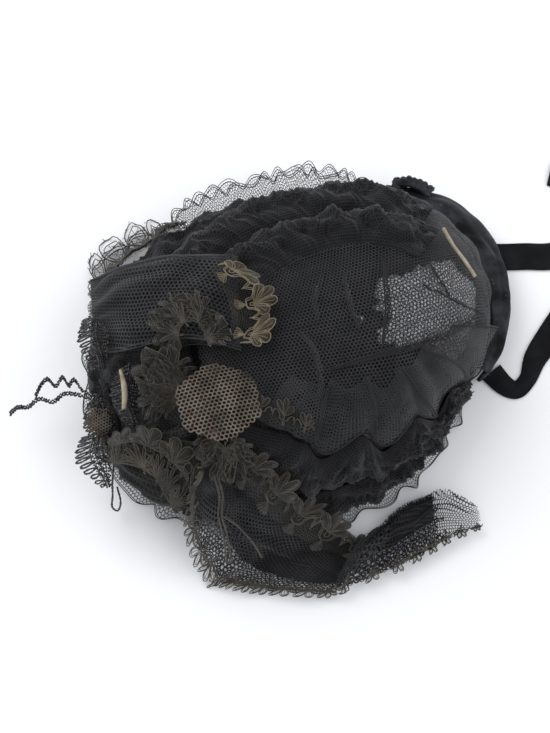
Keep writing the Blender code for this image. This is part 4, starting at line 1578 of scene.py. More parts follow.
@dataclass
class CrownCap:
    """Soft crown: fine outer net, a closer lining under it, folds, and a doubled lobed edge."""

    outer_pitch: float = 0.0016
    outer_bar: float = 0.00042
    stretch: float = 1.08
    lining_pitch: float = 0.0019
    lining_bar: float = 0.00046
    lining_drop: float = 0.0020
    pleat_depth: float = 0.0030
    pleat_growth: float = 0.3
    columns: int = 180
    lines: int = 40
    pole: float = 0.06
    shade_sheet_drop: float = 0.0044
    light_pad_drop: float = 0.0056
    window_at: tuple[float, float] = (0.046, -0.004)
    window_size: tuple[float, float] = (0.031, 0.021)
    window_slant: float = 0.12
    flap_pitch: float = 0.0016
    flap_bar: float = 0.00055
    flap_cord: float = 0.0007
    tuck_pitch: float = 0.00135
    tuck_cord: float = 0.0009
    shaded_tuck_bar: float = 0.0006
    probe: float = 0.02

    def pleat_height(self, angle: float, reach: float) -> float:
        """How far the folds sink at a place.

        Args:
            angle: Direction in degrees.
            reach: 0 at the top, 1 at the rim.

        Returns:
            The height.
        """
        height = 0.0
        for pleat in CROWN_PLEATS:
            off = wrapped(angle - pleat.angle)
            grow = max(0.0, min(1.0, (reach - pleat.start) / self.pleat_growth))
            height -= self.pleat_depth * pleat.depth * grow * math.exp(-(off / pleat.width) ** 2)
        return height

    def patch(self) -> Patch:
        """Crown surface by angle and by share of the way from the top to the edge."""

        def place(along: float, across: float) -> Vector:
            """Point at the two shares."""
            angle = along * FULL_TURN - HALF_TURN
            reach = max(across, 0.004) * between(CROWN_EDGE, angle)
            return FORM.over(angle, reach, self.pleat_height(angle, reach))

        return Patch.of(self.columns, self.lines, place).on_node("crown").facing_up()

    def run(self, patch: Patch) -> Array:
        """Distance along the cloth from the top, by column and line."""
        steps = np.linalg.norm(np.diff(patch.grid, axis=1), axis=2)
        return np.concatenate([np.zeros((self.columns + 1, 1)), np.cumsum(steps, axis=1)], axis=1)

    def net(
        self, name: str, patch: Patch, pitch: float, bar: float, turn: float, keep: Keep, lift: Keep,
        finish: Finish, more: list[Piece],
    ) -> Piece:
        """Round net laid from the top of the crown outwards.

        Args:
            name: Name of the piece.
            patch: Crown surface.
            pitch: Distance from cell to cell.
            bar: Thread thickness.
            turn: How far the weave is turned.
            keep: Which places stay, by angle in degrees and share.
            lift: Lift from the surface, by angle in degrees and share.
            finish: Thread finish.
            more: Tucks and edges sewn to this net; not used.

        Returns:
            The piece, cut to its flat lobed round.
        """
        run = self.run(patch) / self.stretch
        reach = float(run[:, -1].max())
        flat = flat_net(2 * reach, 2 * reach, pitch, bar)
        places = corners_of(flat)[:, :2] - reach
        angle = wrapped(np.degrees(np.arctan2(places[:, 1], places[:, 0])) + turn)
        away = np.hypot(places[:, 0], places[:, 1])
        u = (angle + HALF_TURN) / FULL_TURN
        column = u * self.columns
        low = np.clip(np.floor(column).astype(int), 0, self.columns - 1)
        part = (column - low)[:, None]
        table = run[low] * (1 - part) + run[low + 1] * part
        full = table[:, -1]
        shares = np.linspace(0, 1, self.lines + 1)
        v = np.array([np.interp(distance, marks, shares) for distance, marks in zip(away, table)])
        inside = (away <= full) & keep(angle, away / full)
        where = np.zeros((len(u), 3))
        sunk = np.maximum(v[inside], self.pole)
        where[inside] = patch.at(u[inside], v[inside]) + (
            patch.normal(u[inside], sunk) * lift(angle[inside], v[inside])[:, None]
        )
        piece = BENCH.keep(name, put_corners(flat, where, inside), finish, "black_net")
        return piece

    def build(self) -> None:
        """Outer net, lining, folds and edge."""
        patch = self.patch()
        wander = Soft(5, coarse=0.004, fine=0.012)
        see = Soft(9, coarse=0.006, fine=0.014)

        def ease(angle: Array, share: Array) -> Array:
            """Rise of the outer net."""
            return 0.0008 + 0.0013 * wander.at(angle, share * 60) * np.clip(share * 3, 0, 1)

        def under(angle: Array, share: Array) -> Array:
            """Drop of the lining net."""
            return -self.lining_drop + 0.0006 * see.at(angle, share * 60)

        folds = self.build_folds() + self.build_flaps(patch)
        outer = self.net(
            "crown_outer_net", patch, self.outer_pitch, self.outer_bar, 0.0, anywhere, ease, NET_THREAD,
            folds,
        )
        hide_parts("crown")
        # The lining takes the darker thread: painted shade under the outer net.
        self.net(
            "crown_lining_net", patch, self.lining_pitch, self.lining_bar, 17.0,
            lambda angle, share: share < 0.985, under, SHADED_DARK_THREAD, [],
        )
        self.build_shade_sheet(patch)
        self.build_light_pad(patch)

    def from_window(self, patch: Patch, u: Array, v: Array, slant: float) -> tuple[Array, Array]:
        """Places on the crown about the window's middle, in shares of its half sizes."""
        x, y, _ = (patch.at(u, v) - (*self.window_at, 0.0)).T
        return x / self.window_size[0], (y - slant * x) / self.window_size[1]

    def build_shade_sheet(self, patch: Patch) -> None:
        """Close dark sheet well under the lining that paints the shade inside the crown, open where the back
        shows light.
        """
        def keep(u: Array, v: Array) -> Array:
            """Which places stay."""
            x, y = self.from_window(patch, u, v, self.window_slant)
            turn = np.arctan2(y, x)
            rim = 1 + 0.14 * np.sin(5 * turn + 2) + 0.09 * np.sin(11 * turn + 1) + 0.05 * np.sin(23 * turn)
            return np.hypot(x, y) > rim

        piece = SolidSheet(
            "crown_backing", patch, 120, 30, keep=keep,
            lift=lambda u, v: np.full(len(u), -self.shade_sheet_drop), edge=(0.0, 1.0, 0.04, 0.985),
        ).build(PAINTED_SHADE_CLOTH, "black_net")

    def build_flaps(self, patch: Patch) -> list[Piece]:
        """Doubled pleats that lap over each other along the lobed edge.

        Args:
            patch: Crown surface.

        Returns:
            The nets and their edges.
        """
        made = []
        for number, flap in enumerate(CROWN_FLAPS):
            gaps = np.hypot(patch.grid[:, -1, 0] - flap.x, patch.grid[:, -1, 1] - flap.y)
            middle = float(gaps.argmin()) / self.columns

            def place(along: float, across: float) -> Vector:
                """Point at the two shares."""
                u = middle + flap.half * (2 * along - 1) + 0.02 * (across - 0.5)
                v = flap.start + (0.985 + 0.03 * math.sin(math.pi * along) - flap.start) * across
                lift = 0.0012 + flap.rise * along ** 2 * across
                return Vector(patch.lifted(np.array([u]), np.array([v]), lift)[0])

            cloth = Patch.of(18, 8, place).facing_up()
            turn = 24.0 + 9 * number
            net = NetSheet(f"crown_flap_{number + 1}", cloth, self.flap_pitch, self.flap_bar, turn=turn)
            made.append(net.build(NET_THREAD, "black_net"))
            share = np.linspace(0, 1, 40)
            sides = [
                cloth.lifted(np.ones(40), share, 0.0002), cloth.lifted(np.full(40, 0.97), share, 0.0003),
                cloth.line(share, 1.0, 0.0002),
            ]
            # The edge cords take the darker thread: painted shade along the folds.
            label = f"crown_flap_edge_{number + 1}"
            made.append(cords(label, sides, self.flap_cord, SHADED_DARK_THREAD, "black_net"))
        return made

    def build_light_pad(self, patch: Patch) -> None:
        """Pale sheet inside the crown that paints the light showing through both nets where the dark shade
        sheet is open.
        """

        def keep(u: Array, v: Array) -> Array:
            """Which places stay."""
            return np.hypot(*self.from_window(patch, u, v, 0.0)) < 1.4

        piece = SolidSheet(
            "crown_pad", patch, 90, 24, keep=keep, lift=lambda u, v: np.full(len(u), -self.light_pad_drop),
            edge=(0.0, 1.0, 0.02, 0.97),
        ).build(PAINTED_LIGHT_CLOTH, "cream")

    def build_folds(self) -> list[Piece]:
        """Tucks of doubled net, the thicker ones in darker thread and every edge a near-black cord: painted
        shade where the layers lie over each other.
        """
        made = []
        tree = tree_of(["crown"])
        for number, fold in enumerate(CROWN_FOLDS):
            path = np.array(fold.path) / 1000

            def place(along: float, across: float) -> Vector:
                """Point at the two shares."""
                step = -self.probe if along > 0.97 else self.probe
                here, beyond = (Vector(spot) for spot in on_curve(path, np.array([along, along + step])))
                forward = here - beyond if step < 0 else beyond - here
                _, normal, _, _ = tree.find_nearest(here)
                side = normal.cross(forward).normalized()
                wide = 0.55 * fold.width * math.sin(math.pi * min(max(along, 0.02), 0.98)) ** 0.5
                spot, normal, _, _ = tree.find_nearest(here + side * wide * (across - 0.5))
                rise = 0.4 * fold.rise * math.sin(math.pi * across ** 0.7) + 0.0007
                return spot + normal * rise

            tuck = Patch.of(20, 4, place).facing_up()
            net = NetSheet(f"crown_tuck_{number + 1}", tuck, self.tuck_pitch, fold.bar, turn=14.0 * number)
            # Thicker tucks take the darker thread: painted shade in the doubled net.
            made.append(net.build(SHADED_DARK_THREAD if fold.bar > self.shaded_tuck_bar else NET_THREAD, "black_net"))
            u = np.linspace(0, 1, 60)
            made.append(cords(
                f"crown_tuck_edge_{number + 1}", [tuck.line(u, 0.0, 0.0002)], self.tuck_cord, PAINTED_SHADE_CLOTH,
                "black_net",
            ))
        return made


@dataclass
class RucheRow:
    """Row of gathered net: crowded soft folds between two sewn edges."""

    node: str
    start: float
    end: float
    top: float
    bottom: float
    under_crown: bool = False
    puff: float = 0.0065
    depth: float = 0.0030
    crease: float = 0.0015
    fine: float = 0.00015
    overlap: float = 0.12
    seed: int = 1
    base: float = 0.0018
    end_share: float = 0.167

    def patch(self) -> Patch:
        """Puffed surface of the row, without its small folds."""

        def place(along: float, across: float) -> Vector:
            """Point at the two shares."""
            angle = self.start + (self.end - self.start) * along
            upper = self.top + (between(CROWN_EDGE, angle) if self.under_crown else 0.0)
            reach = upper + (self.bottom - upper) * across
            ends = min(1.0, along / self.end_share, (1 - along) / self.end_share)
            return FORM.over(angle, reach, self.base + ends * math.sin(math.pi * across) * self.puff)

        return Patch.of(60, 8, place).on_node(self.node).facing_up()

    def build(self) -> None:
        """Gathered cloth with crowded folds."""
        patch = self.patch()
        long, wide = patch.size()
        puffs = Soft(self.seed, count=6, coarse=45, fine=95)
        creases = Soft(self.seed + 20, count=7, coarse=90, fine=170)
        small = Soft(self.seed + 40, count=9, coarse=260, fine=480)

        def lift(u: Array, v: Array) -> Array:
            """Rise of the folds at shares."""
            calm = 0.30 + 0.70 * np.sin(math.pi * np.clip(v, 0, 1)) ** 0.6
            if self.under_crown:
                calm *= np.clip(v * 2.5, 0, 1)
            x, y = u * long, v * wide
            bend = puffs.at(x, y)
            crease = creases.at(x + 0.004 * bend, y * 0.6 + 0.003 * bend)
            ridge = 1 - 2.2 * np.sqrt(np.abs(crease) + 0.01)
            return calm * (self.depth * bend + self.crease * ridge + self.fine * small.at(x, y))

        piece = SolidSheet(
            self.node + "_net", patch, round(long / 0.00068), max(20, round(wide / 0.0009)), lift=lift,
            edge=(0.0, 1.0, 0.0 if self.under_crown else -self.overlap, 1 + self.overlap),
        ).build(RUCHE_NET, "black_net")
        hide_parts(self.node)


@dataclass
class Frill:
    """Thin frill of open net, standing out past the rim in loose waves."""

    node: str
    start: float
    end: float
    width: float
    low: float
    high: float
    waves: int
    pitch: float = 0.0021
    bar: float = 0.0004
    wave: float = 0.0022
    end_share: float = 0.2
    end_width: float = 0.4
    gap: float = 0.0003
    cord: float = 0.00045
    growth: float = 1.0
    rise: float = 0.0
    layers: int = 1
    seed: int = 2

    def patch(self, layer: int) -> Patch:
        """Surface of a layer of the frill, its outer edge at v of 1."""
        loose = Soft(self.seed + layer, coarse=0.6, fine=2.0)

        def place(along: float, across: float) -> Vector:
            """Point at the two shares."""
            angle = self.start + (self.end - self.start) * along
            ends = min(1.0, along / self.end_share, (1 - along) / self.end_share)
            width = self.width * self.growth * (self.end_width + (1 - self.end_width) * ends)
            stray = float(loose.at(np.array([along * 6]), np.array([across * 0.5]))[0])
            turn = math.tau * self.waves * along + 2.2 * stray + 2.1 * layer
            wave = self.wave * across * math.sin(turn)
            curl = self.wave * 1.3 * across * math.cos(turn + 0.6)
            out = self.gap + across * width * (1 + 0.10 * stray) + wave
            return FORM.past_rim(angle, out, self.low + (self.high - self.low) * across + wave + curl)

        made = Patch.of(self.waves * 14, 5, place).on_node(self.node).facing_up()
        across = np.linspace(0, 1, made.grid.shape[1])
        along = np.linspace(0, 1, made.grid.shape[0])
        swell = np.sin(math.pi * along) ** 0.4 * (1 + 0.25 * loose.at(along * 5, along * 0))
        made.grid[:, :, 2] += self.rise * (1 - 0.18 * layer) * swell[:, None] * across[None] ** 1.3
        return made

    def build(self) -> None:
        """Every layer of the frill."""
        for layer in range(self.layers):
            self.build_layer(layer)

    def build_layer(self, layer: int) -> None:
        """Net, and the close twisted thread along its free edge."""
        patch = self.patch(layer)
        label = self.node if not layer else f"{self.node}_under"
        net = NetSheet(label + "_net", patch, self.pitch, self.bar, turn=11.0 * layer)
        piece = net.build(NET_THREAD, "black_net")
        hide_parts(self.node)
        u = np.linspace(0, 1, 24 * self.waves)
        edges = [patch.line(u, v, lift) for v, lift in ((1.0, 0.0), (0.95, 0.0002))]
        edging = cords(label + "_edge", edges, self.cord, NET_THREAD, "black_net")
        cut_size(patch.area(), patch.size()[1])
        net.coverage() * patch.area()


@dataclass
class VelvetBinding:
    """Velvet rolled over the back edge, its pile creased along its length."""

    start: float = -22.0
    end: float = 48.0
    top: float = 0.95
    wall: float = 0.0024
    bulge: float = 0.004
    low: float = 0.0037

    def patch(self) -> Patch:
        """Middle of the binding's wall, from its inner edge to its outer one."""

        def place(along: float, across: float) -> Vector:
            """Point at the two shares."""
            angle = self.start + (self.end - self.start) * along
            upper = FORM.over(angle, self.top, self.wall)
            lower = FORM.past_rim(angle, between(BINDING_OUT, angle), self.low)
            bulge = self.bulge * math.sin(math.pi * across)
            point = upper.lerp(lower, across) + Vector((0, 0, bulge))
            return point + FORM.past_rim(angle, bulge, 0) - FORM.past_rim(angle, 0, 0)

        return Patch.of(40, 6, place).on_node("velvet_binding").facing_up()

    def build(self) -> None:
        """Velvet with creases."""
        patch = self.patch()
        long, wide = patch.size()
        crease = Soft(21, coarse=0.4, fine=1.6)

        def lift(u: Array, v: Array) -> Array:
            """Rise of the folds at shares."""
            calm = np.sin(math.pi * np.clip(v, 0, 1)) ** 0.5
            fold = np.sin(math.tau * (v * 2.2 + 0.35 * np.sin(u * 7) + 0.25 * crease.at(u * 3, v)))
            return calm * (0.0007 * fold + 0.0004 * crease.at(u * 8, v * 2)) - 0.0002

        sheet = SolidSheet("velvet_binding_cloth", patch, 150, 28, wall=0.0018, lift=lift)
        piece = sheet.build(BLACK_VELVET, "velvet")
        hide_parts("velvet_binding")


@dataclass
class VelvetTwist:
    """Loop of the binding's velvet, folded over at its far end."""

    lay: Lay = Lay("velvet_twist", TWIST, 12, 2, 0.5, fall=LIMP_FALL)
    wall: float = 0.0018
    depth: float = 0.0011

    def build(self) -> None:
        """Velvet with a few soft creases."""
        patch = self.lay.patch()
        crease = Soft(25, coarse=0.5, fine=1.8)
        sheet = SolidSheet(
            "velvet_twist_cloth", patch, 70, 16, wall=self.wall,
            lift=lambda u, v: self.depth * crease.at(u * 7, v * 4) * np.sin(math.pi * v),
        )
        piece = sheet.build(BLACK_VELVET, "velvet")
        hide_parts("velvet_twist")
        patch.size()


@dataclass
class Tie:
    """Black velvet ribbon lying on the table."""

    node: str
    runs: tuple[Run, ...]
    width: float = 0.0145
    round: float = 0.001
    wall: float = 0.0012
    gap: float = 0.0003
    step: float = 0.01
    cloth: float = 0.0009
    selvage: float = 0.0009

    def patch(self) -> Patch:
        """Middle of the ribbon's wall."""

        def place(along: float, across: float) -> Vector:
            """Point at the two shares."""
            here = along_rows(self.runs, along)
            before = along_rows(self.runs, max(0.0, along - self.step))
            after = along_rows(self.runs, min(1.0, along + self.step))
            forward = Vector((
                (after.x - before.x) * FORM.length, (after.y - before.y) * FORM.width, 0,
            ))
            side = Vector((-forward.y, forward.x, 0)).normalized() * self.width * here.width * (across - 0.5)
            spot = Vector((here.x * FORM.length / 2, here.y * FORM.width / 2, 0)) + side
            spot.z = here.height * FORM.height + self.round * math.sin(math.pi * across)
            spot.z += self.wall / 2 + self.gap
            return spot + ORIGIN

        return Patch.of(60, 4, place).on_node(self.node).facing_up()

    def build(self) -> None:
        """Ribbon with its woven edges."""
        patch = self.patch()
        long, wide = patch.size()
        bend = Soft(33, coarse=0.5, fine=1.5)
        sheet = SolidSheet(
            self.node + "_ribbon", patch, 160, 14, wall=self.cloth,
            lift=lambda u, v: 0.0002 * bend.at(u * 6, v) * np.sin(math.pi * v),
        )
        piece = sheet.build(RIBBON_VELVET, "velvet")
        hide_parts(self.node)
        u = np.linspace(0, 1, 140)
        edges = [patch.line(u, v, 0.0) for v in (0.012, 0.988)]
        selvage = cords(self.node + "_selvage", edges, self.selvage, SHADED_DARK_THREAD, "velvet")


@dataclass(frozen=True)
class InnerBand:
    """Second row of motifs on a lace piece, behind or above the first."""

    name: str
    motifs: int
    motif: Palmette
    deep: float
    outward: float


@dataclass
class NetLoop:
    """Loop or fall of net laid over what is under it, its edges turned in twice."""

    lay: Lay
    pitch: float
    bar: float
    held: Held
    turn: float = 0.0
    fold: float = 0.0016
    folds: float = 3.0
    layers: int = 1
    drop: float = 0.0016
    ragged: float = 0.0
    flutter: float = 0.0
    flutters: float = 7.0
    backed: float = 0.0
    single: float = 1.1
    fullness: float = 1.0
    edging: InnerBand | None = None
    hem: float = 0.0005
    edge_cord: float = 0.00045
    edge_lift: float = 0.0014
    seed: int = 11

    def build(self) -> None:
        """Net in one or more layers, and its hem threads."""
        patch = self.lay.patch()
        wide = patch.size()[1]
        bend = Soft(self.seed, coarse=0.5, fine=2.0)
        tear = Soft(self.seed + 7, coarse=2.0, fine=9.0)

        def lift(u: Array, v: Array) -> Array:
            """Rise of the folds at shares."""
            wave = np.sin(math.tau * (self.folds * v + 0.6 * bend.at(u * 2, v * 2)))
            turn = math.tau * (self.flutters * u + 0.6 * bend.at(u * 2, v))
            flutter = self.flutter * np.clip(v, 0, 1.1) ** 2 * (np.sin(turn) + 0.4)
            return self.fold * wave * np.sin(math.pi * np.clip(u, 0, 1)) ** 0.5 * 0.6 + flutter

        def keep(u: Array, v: Array) -> Array:
            """Which places stay."""
            if not self.ragged:
                return anywhere(u, v)
            rim = np.minimum(np.minimum(v, 1 - v), 1 - u)
            return rim > self.ragged * (tear.at(u * 3, v * 3) - 0.2)

        def under(u: Array, v: Array) -> Array:
            """Which places stay in the layers below."""
            return keep(u, v) & (u < self.single + 0.08 * tear.at(u, 2 * v))

        hems = []
        if not self.ragged:
            u = np.linspace(0, 1, 120)
            edges = [patch.line(u, v, lift(u, np.full(len(u), v))) for v in (0.0, 0.03, 0.97, 1.0)]
            hems.append(cords(self.lay.node + "_hem", edges, self.hem, NET_THREAD, "black_net"))
        if self.edging:
            trim = self.edging
            hems += LaceBand(
                trim.name, patch, trim.motifs, trim.motif, "black_lace", cord=self.edge_cord,
                lift=self.edge_lift, deep=trim.deep, outward=trim.outward, flip=True, picots=4, double=True,
                ripple=lift,
            ).build(None, DULL_THREAD)
        for layer in range(self.layers):
            down = -self.drop * layer
            net = NetSheet(
                f"{self.lay.node}_net" + (f"_{layer + 1}" if layer else ""), patch,
                self.pitch * (1 + 0.12 * layer), self.bar * (1 + 0.2 * layer), turn=self.turn + 19 * layer,
                keep=under if layer else keep,
                lift=lambda u, v, down=down: lift(u, v) + down,
            )
            # Layers below the first take the darker thread: painted shade under the top layer.
            piece = net.build(SHADED_DARK_THREAD if layer else NET_THREAD, "black_net")
            if not layer:
                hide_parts(self.lay.node)
            self.fullness * patch.area() / wide
            self.fullness * net.coverage() * patch.area()
        # A near-black sheet under the layers paints the shade inside the loop.
        if self.backed:
            down = -self.drop * self.layers - 0.0004
            piece = SolidSheet(
                f"{self.lay.node}_inside", patch, 70, 24,
                keep=lambda u, v: (v < self.backed + 0.05 * np.sin(9 * u)) & (u < self.single - 0.04),
                lift=lambda u, v: lift(u, v) + down, edge=(0.02, 0.98, 0.03, self.backed + 0.04),
            ).build(PAINTED_SHADE_CLOTH, "black_net")
            patch.area() / wide


@dataclass
class BorderLace:
    """Palmette lace laid over a net end: ground net, filled petals and tan cords."""

    lay: Lay
    motifs: int
    motif: Palmette
    held: Held
    ground: tuple[float, float] = (0.0012, 0.0003)
    inset: float = 0.12
    slot: str = "brown_lace"
    filled: Finish | None = LACE_FILL
    cord_finish: Finish = TAN_THREAD
    cord: float = 0.00034
    picots: int = 0
    ruffle: float = 0.0
    ruffles: float = 6.0
    deep: float = 1.0
    outward: float = 0.0
    double: bool = False
    inner: tuple[InnerBand, ...] = ()
    stems: tuple[tuple[Point, ...], ...] = ()
    stem: float = 0.0008
    inner_lift: float = 0.0016
    seed: int = 4

    def build(self) -> None:
        """Ground, clothwork and cords."""
        patch = self.lay.patch()
        wide = patch.size()[1]
        bend = Soft(self.seed, coarse=0.6, fine=2.2)

        def ripple(u: Array, v: Array) -> Array:
            """Rise of the ruffles at shares."""
            turn = math.tau * (self.ruffles * u + 0.5 * bend.at(u * 3, v))
            return self.ruffle * np.clip(1 - v, 0, 1.2) * np.sin(turn) + 0.0004 * bend.at(u * 4, v * 3)

        def keep(u: Array, v: Array) -> Array:
            """Which places stay."""
            share = (u * self.motifs) % 1.0 - 0.5
            return v > self.inset + 0.55 * share * share

        net = NetSheet(
            self.lay.node + "_ground", patch, self.ground[0], self.ground[1], keep=keep, lift=ripple,
        )
        piece = net.build(LACE_THREAD, self.slot)
        band = LaceBand(
            self.lay.node, patch, self.motifs, self.motif, self.slot, cord=self.cord, picots=self.picots,
            ripple=ripple, deep=self.deep, outward=self.outward, double=self.double,
        )
        pieces = band.build(self.filled, self.cord_finish)
        for inner in self.inner:
            pieces += LaceBand(
                self.lay.node + inner.name, patch, inner.motifs, inner.motif, self.slot, lift=self.inner_lift,
                ripple=ripple, deep=inner.deep, outward=inner.outward,
            ).build(DARK_FILL, DULL_THREAD)
        if self.stems:
            lines = [smooth(stem, 6) for stem in self.stems]
            pieces.append(cords(self.lay.node + "_stems", lines, self.stem, DULL_THREAD, self.slot))
        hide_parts(self.lay.node)
        cut_size(patch.area(), wide)
        net.coverage() * patch.area()


@dataclass
class JetLeaf:
    """Leaf of long narrow loops of jet beads on a dark net ground."""

    lay: Lay
    loops: int = 11
    bead: float = 0.0011
    gap: float = 0.00112
    reach: float = 0.0080
    slim: float = 0.0018
    ground_share: float = 0.52
    seed: int = 6

    def build(self) -> None:
        """Bead loops side by side along the leaf, and a beaded rib."""
        patch = self.lay.patch()
        long, wide = patch.size()
        draw = np.random.default_rng(self.seed)
        lines = []
        for loop in range(self.loops):
            share = (loop + 0.5) / self.loops
            length = self.reach * (0.72 + 0.4 * math.sin(math.pi * share)) / wide
            petal = Petal(share, 0.5, -(90 + draw.uniform(-9, 9)), 1.0, 1.0)
            plan = petal.outline(20) - (share, 0.5)
            u = share + plan[:, 0] * self.slim / long
            v = 0.5 + plan[:, 1] * length
            lines.append(spaced(patch.lifted(u, v, 0.0012 + 0.0004 * math.sin(3 * loop)), self.gap))
            back = 0.5 - plan[:, 1] * length * 0.8
            lines.append(spaced(patch.lifted(u + 0.4 / self.loops, back, 0.0004), self.gap))
        u = np.linspace(0, 1, 30)
        for v, lift in ((0.5, 0.0016), (0.66, 0.0012)):
            lines.append(spaced(patch.lifted(u, np.full(30, v) + 0.06 * np.sin(u * 9), lift), self.gap))
        piece = beads(self.lay.node + "_beads", np.concatenate(lines), self.bead, JET_BEAD, "jet", self.seed)
        net = NetSheet(self.lay.node + "_ground", patch, 0.0014, 0.00045, edge=(0.02, 0.98, 0.25, 0.9))
        ground = net.build(LACE_THREAD, "jet")
        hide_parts(self.lay.node)
        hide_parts(self.lay.node)
        area = self.ground_share * patch.area()


@dataclass
class BeadSpray:
    """Strands of jet beads round a bent wire."""

    node: str
    spots: tuple[Spot, ...]
    bead: float = 0.0012
    strands: int = 2
    twist: float = 0.0008
    turns: float = 14.0
    seed: int = 8

    def build(self) -> None:
        """Beads wound in strands along the wire's path."""
        share = np.linspace(0, 1, 160)
        centre = np.array([
            tuple(FORM.from_shares(spot.x, spot.y, spot.height))
            for spot in (along_rows(self.spots, float(part)) for part in share)
        ])
        low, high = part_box(self.node)
        centre += np.array((low + high) / 2) - (centre.min(0) + centre.max(0)) / 2
        lines = []
        for strand in range(self.strands):
            turn = math.tau * (share * self.turns + strand / self.strands)
            offset = np.stack([np.zeros(len(turn)), np.cos(turn), np.sin(turn)], 1) * self.twist
            lines.append(spaced(centre + offset, self.bead * 1.02))
        piece = beads(self.node + "_beads", np.concatenate(lines), self.bead, JET_BEAD, "jet", self.seed)
        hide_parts(self.node)


@dataclass
class BeadString:
    """Short string of jet beads that hangs down past the front edge."""

    name: str
    path: tuple[Point, ...]
    bead: float = 0.0012

    def build(self) -> None:
        """Beads along the path."""
        beads(self.name, spaced(smooth(self.path), self.bead), self.bead, JET_BEAD, "jet")


@dataclass
class MeshPlate:
    """Stiff tan mesh, its corners rounded and its rim a little ragged."""

    node: str
    pitch: float = 0.0020
    bar: float = 0.00056
    wall: float = 0.0006
    dome: float = 0.0012
    seed: int = 15

    def build(self) -> None:
        """Mesh fitted over the solid plate's own plane."""
        corners, middle, axes = lie_of(self.node)
        normal = axes[2] if axes[2][2] > 0 else -axes[2]
        east = np.cross((0.0, 1.0, 0.0), normal)
        east /= np.linalg.norm(east)
        north = np.cross(normal, east)
        size = max(np.ptp(corners @ east), np.ptp(corners @ north)) / 2
        flat = flat_net(2.6 * size, 2.6 * size, self.pitch, self.bar)
        plan = corners_of(flat)[:, :2] - 1.3 * size
        turn = np.arctan2(plan[:, 1], plan[:, 0])
        away = np.hypot(plan[:, 0], plan[:, 1])
        sector = math.pi / 3
        rim = size * 0.93 / np.cos((turn + sector / 2) % sector - sector / 2)
        ragged = Soft(self.seed, coarse=0.3, fine=0.9)
        rim *= 0.99 + 0.015 * ragged.at(turn * 2, turn * 0)
        bend = Soft(self.seed + 1, coarse=20, fine=50)
        up = self.dome * (1 - (away / size) ** 2) + 0.0004 * bend.at(plan[:, 0], plan[:, 1]) + 0.0006
        places = middle + plan[:, :1] * east + plan[:, 1:] * north + up[:, None] * normal
        threads = put_corners(flat, places, away < np.minimum(rim, size))
        piece = walled(BENCH.keep(self.node + "_mesh", threads, TAN_MESH, "tan_mesh"), self.wall)
        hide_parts(self.node)


@dataclass
class Quill:
    """Cream stem, swollen below its tip."""

    node: str = "quill"
    sides: int = 14
    wide: float = 0.0015

    def build(self) -> None:
        """Stem spun along the solid's own length."""
        corners, middle, axes = lie_of(self.node)
        along = Vector(axes[0])
        half = float(np.ptp(corners @ axes[0])) / 2
        shape = bmesh.new()
        bmesh.ops.create_cone(shape, cap_ends=True, segments=self.sides, depth=2.0, radius1=1.0, radius2=1.0)
        long_edges = [edge for edge in shape.edges if abs(edge.verts[0].co.z - edge.verts[1].co.z) > 1.0]
        bmesh.ops.subdivide_edges(shape, edges=long_edges, cuts=12)
        turn = Vector((0, 0, 1)).rotation_difference(along)
        for corner in shape.verts:
            share = corner.co.z
            swell = (0.55 + 0.45 * math.cos(share * 1.3)) * (1 - 0.35 * max(0.0, share))
            place = Vector((corner.co.x * self.wide * swell, corner.co.y * self.wide * swell, share * half))
            place.x += 0.0012 * math.cos(share * 1.6) - 0.0004
            corner.co = Vector(middle) + turn @ place
        mesh = mesh_of("quill_stem", shape)
        mesh.shade_smooth()
        piece = BENCH.keep("quill_stem", mesh, CREAM, "cream")
        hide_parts(self.node)


@dataclass
class PlainSolids:
    """Solids that stay as they are and take a finish: the foundation and the covered wires."""

    finishes: dict[str, Finish] = field(default_factory=lambda: {
        "brim_frame": FOUNDATION, "edge_wire": WIRE_COVER, "crown_wire": CREAM
    })

    def build(self) -> None:
        """Give each its material."""
        for node, finish in self.finishes.items():
            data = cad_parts[node].data
            data.materials.clear()
            data.materials.append(finish.material())


@dataclass
class Studio:
    """Pale table, soft light and the camera of the photograph."""

    aim: Point = (-0.0178, 0.00677, 0.0)
    turn: float = -15.0
    height: float = 70.0
    distance: float = 0.750
    lens: float = 73.7
    shift: tuple[float, float] = (-0.0355, 0.0075)
    table: float = 4.0
    sky: Colour = (0.95, 0.97, 1.0)
    sky_strength: float = 0.75

    def light(self, name: str, place: Point, size: float, power: float) -> None:
        """Soft square light aimed at the bonnet.

        Args:
            name: Name of the lamp.
            place: Where it hangs.
            size: Its side.
            power: Its power.
        """
        data = bpy.data.lights.new(name, "AREA")
        data.size = size
        data.energy = power
        lamp = in_scene(name, data)
        lamp.location = place
        lamp.rotation_euler = (Vector((0, 0, 0.02)) - Vector(place)).to_track_quat("-Z", "Y").to_euler()

    def build(self) -> None:
        """Table, lights, sky and camera."""
        shape = bmesh.new()
        bmesh.ops.create_grid(shape, x_segments=1, y_segments=1, size=self.table)
        table = in_scene("table_top", mesh_of("table_top", shape))
        table.data.materials.append(GROUND.material())
        self.light("window", (-0.7, 0.9, 1.5), 1.4, 17.0)
        self.light("fill", (0.9, -0.7, 1.3), 1.6, 8.0)
        world = bpy.data.worlds.new("studio")
        bpy.context.scene.world = world
        world.use_nodes = True
        sky = world.node_tree.nodes["Background"].inputs
        sky["Color"].default_value = (*self.sky, 1.0)
        sky["Strength"].default_value = self.sky_strength
        turn, height = math.radians(self.turn), math.radians(self.height)
        back = Vector((
            math.sin(turn) * math.cos(height), -math.cos(turn) * math.cos(height), math.sin(height),
        ))
        data = bpy.data.cameras.new("photo")
        data.lens = self.lens
        data.shift_x, data.shift_y = self.shift
        camera = in_scene("photo", data)
        camera.location = Vector(self.aim) + back * self.distance
        camera.rotation_euler = (-back).to_track_quat("-Z", "Y").to_euler()
        bpy.context.scene.camera = camera
        bpy.context.scene.view_settings.view_transform = "Standard"


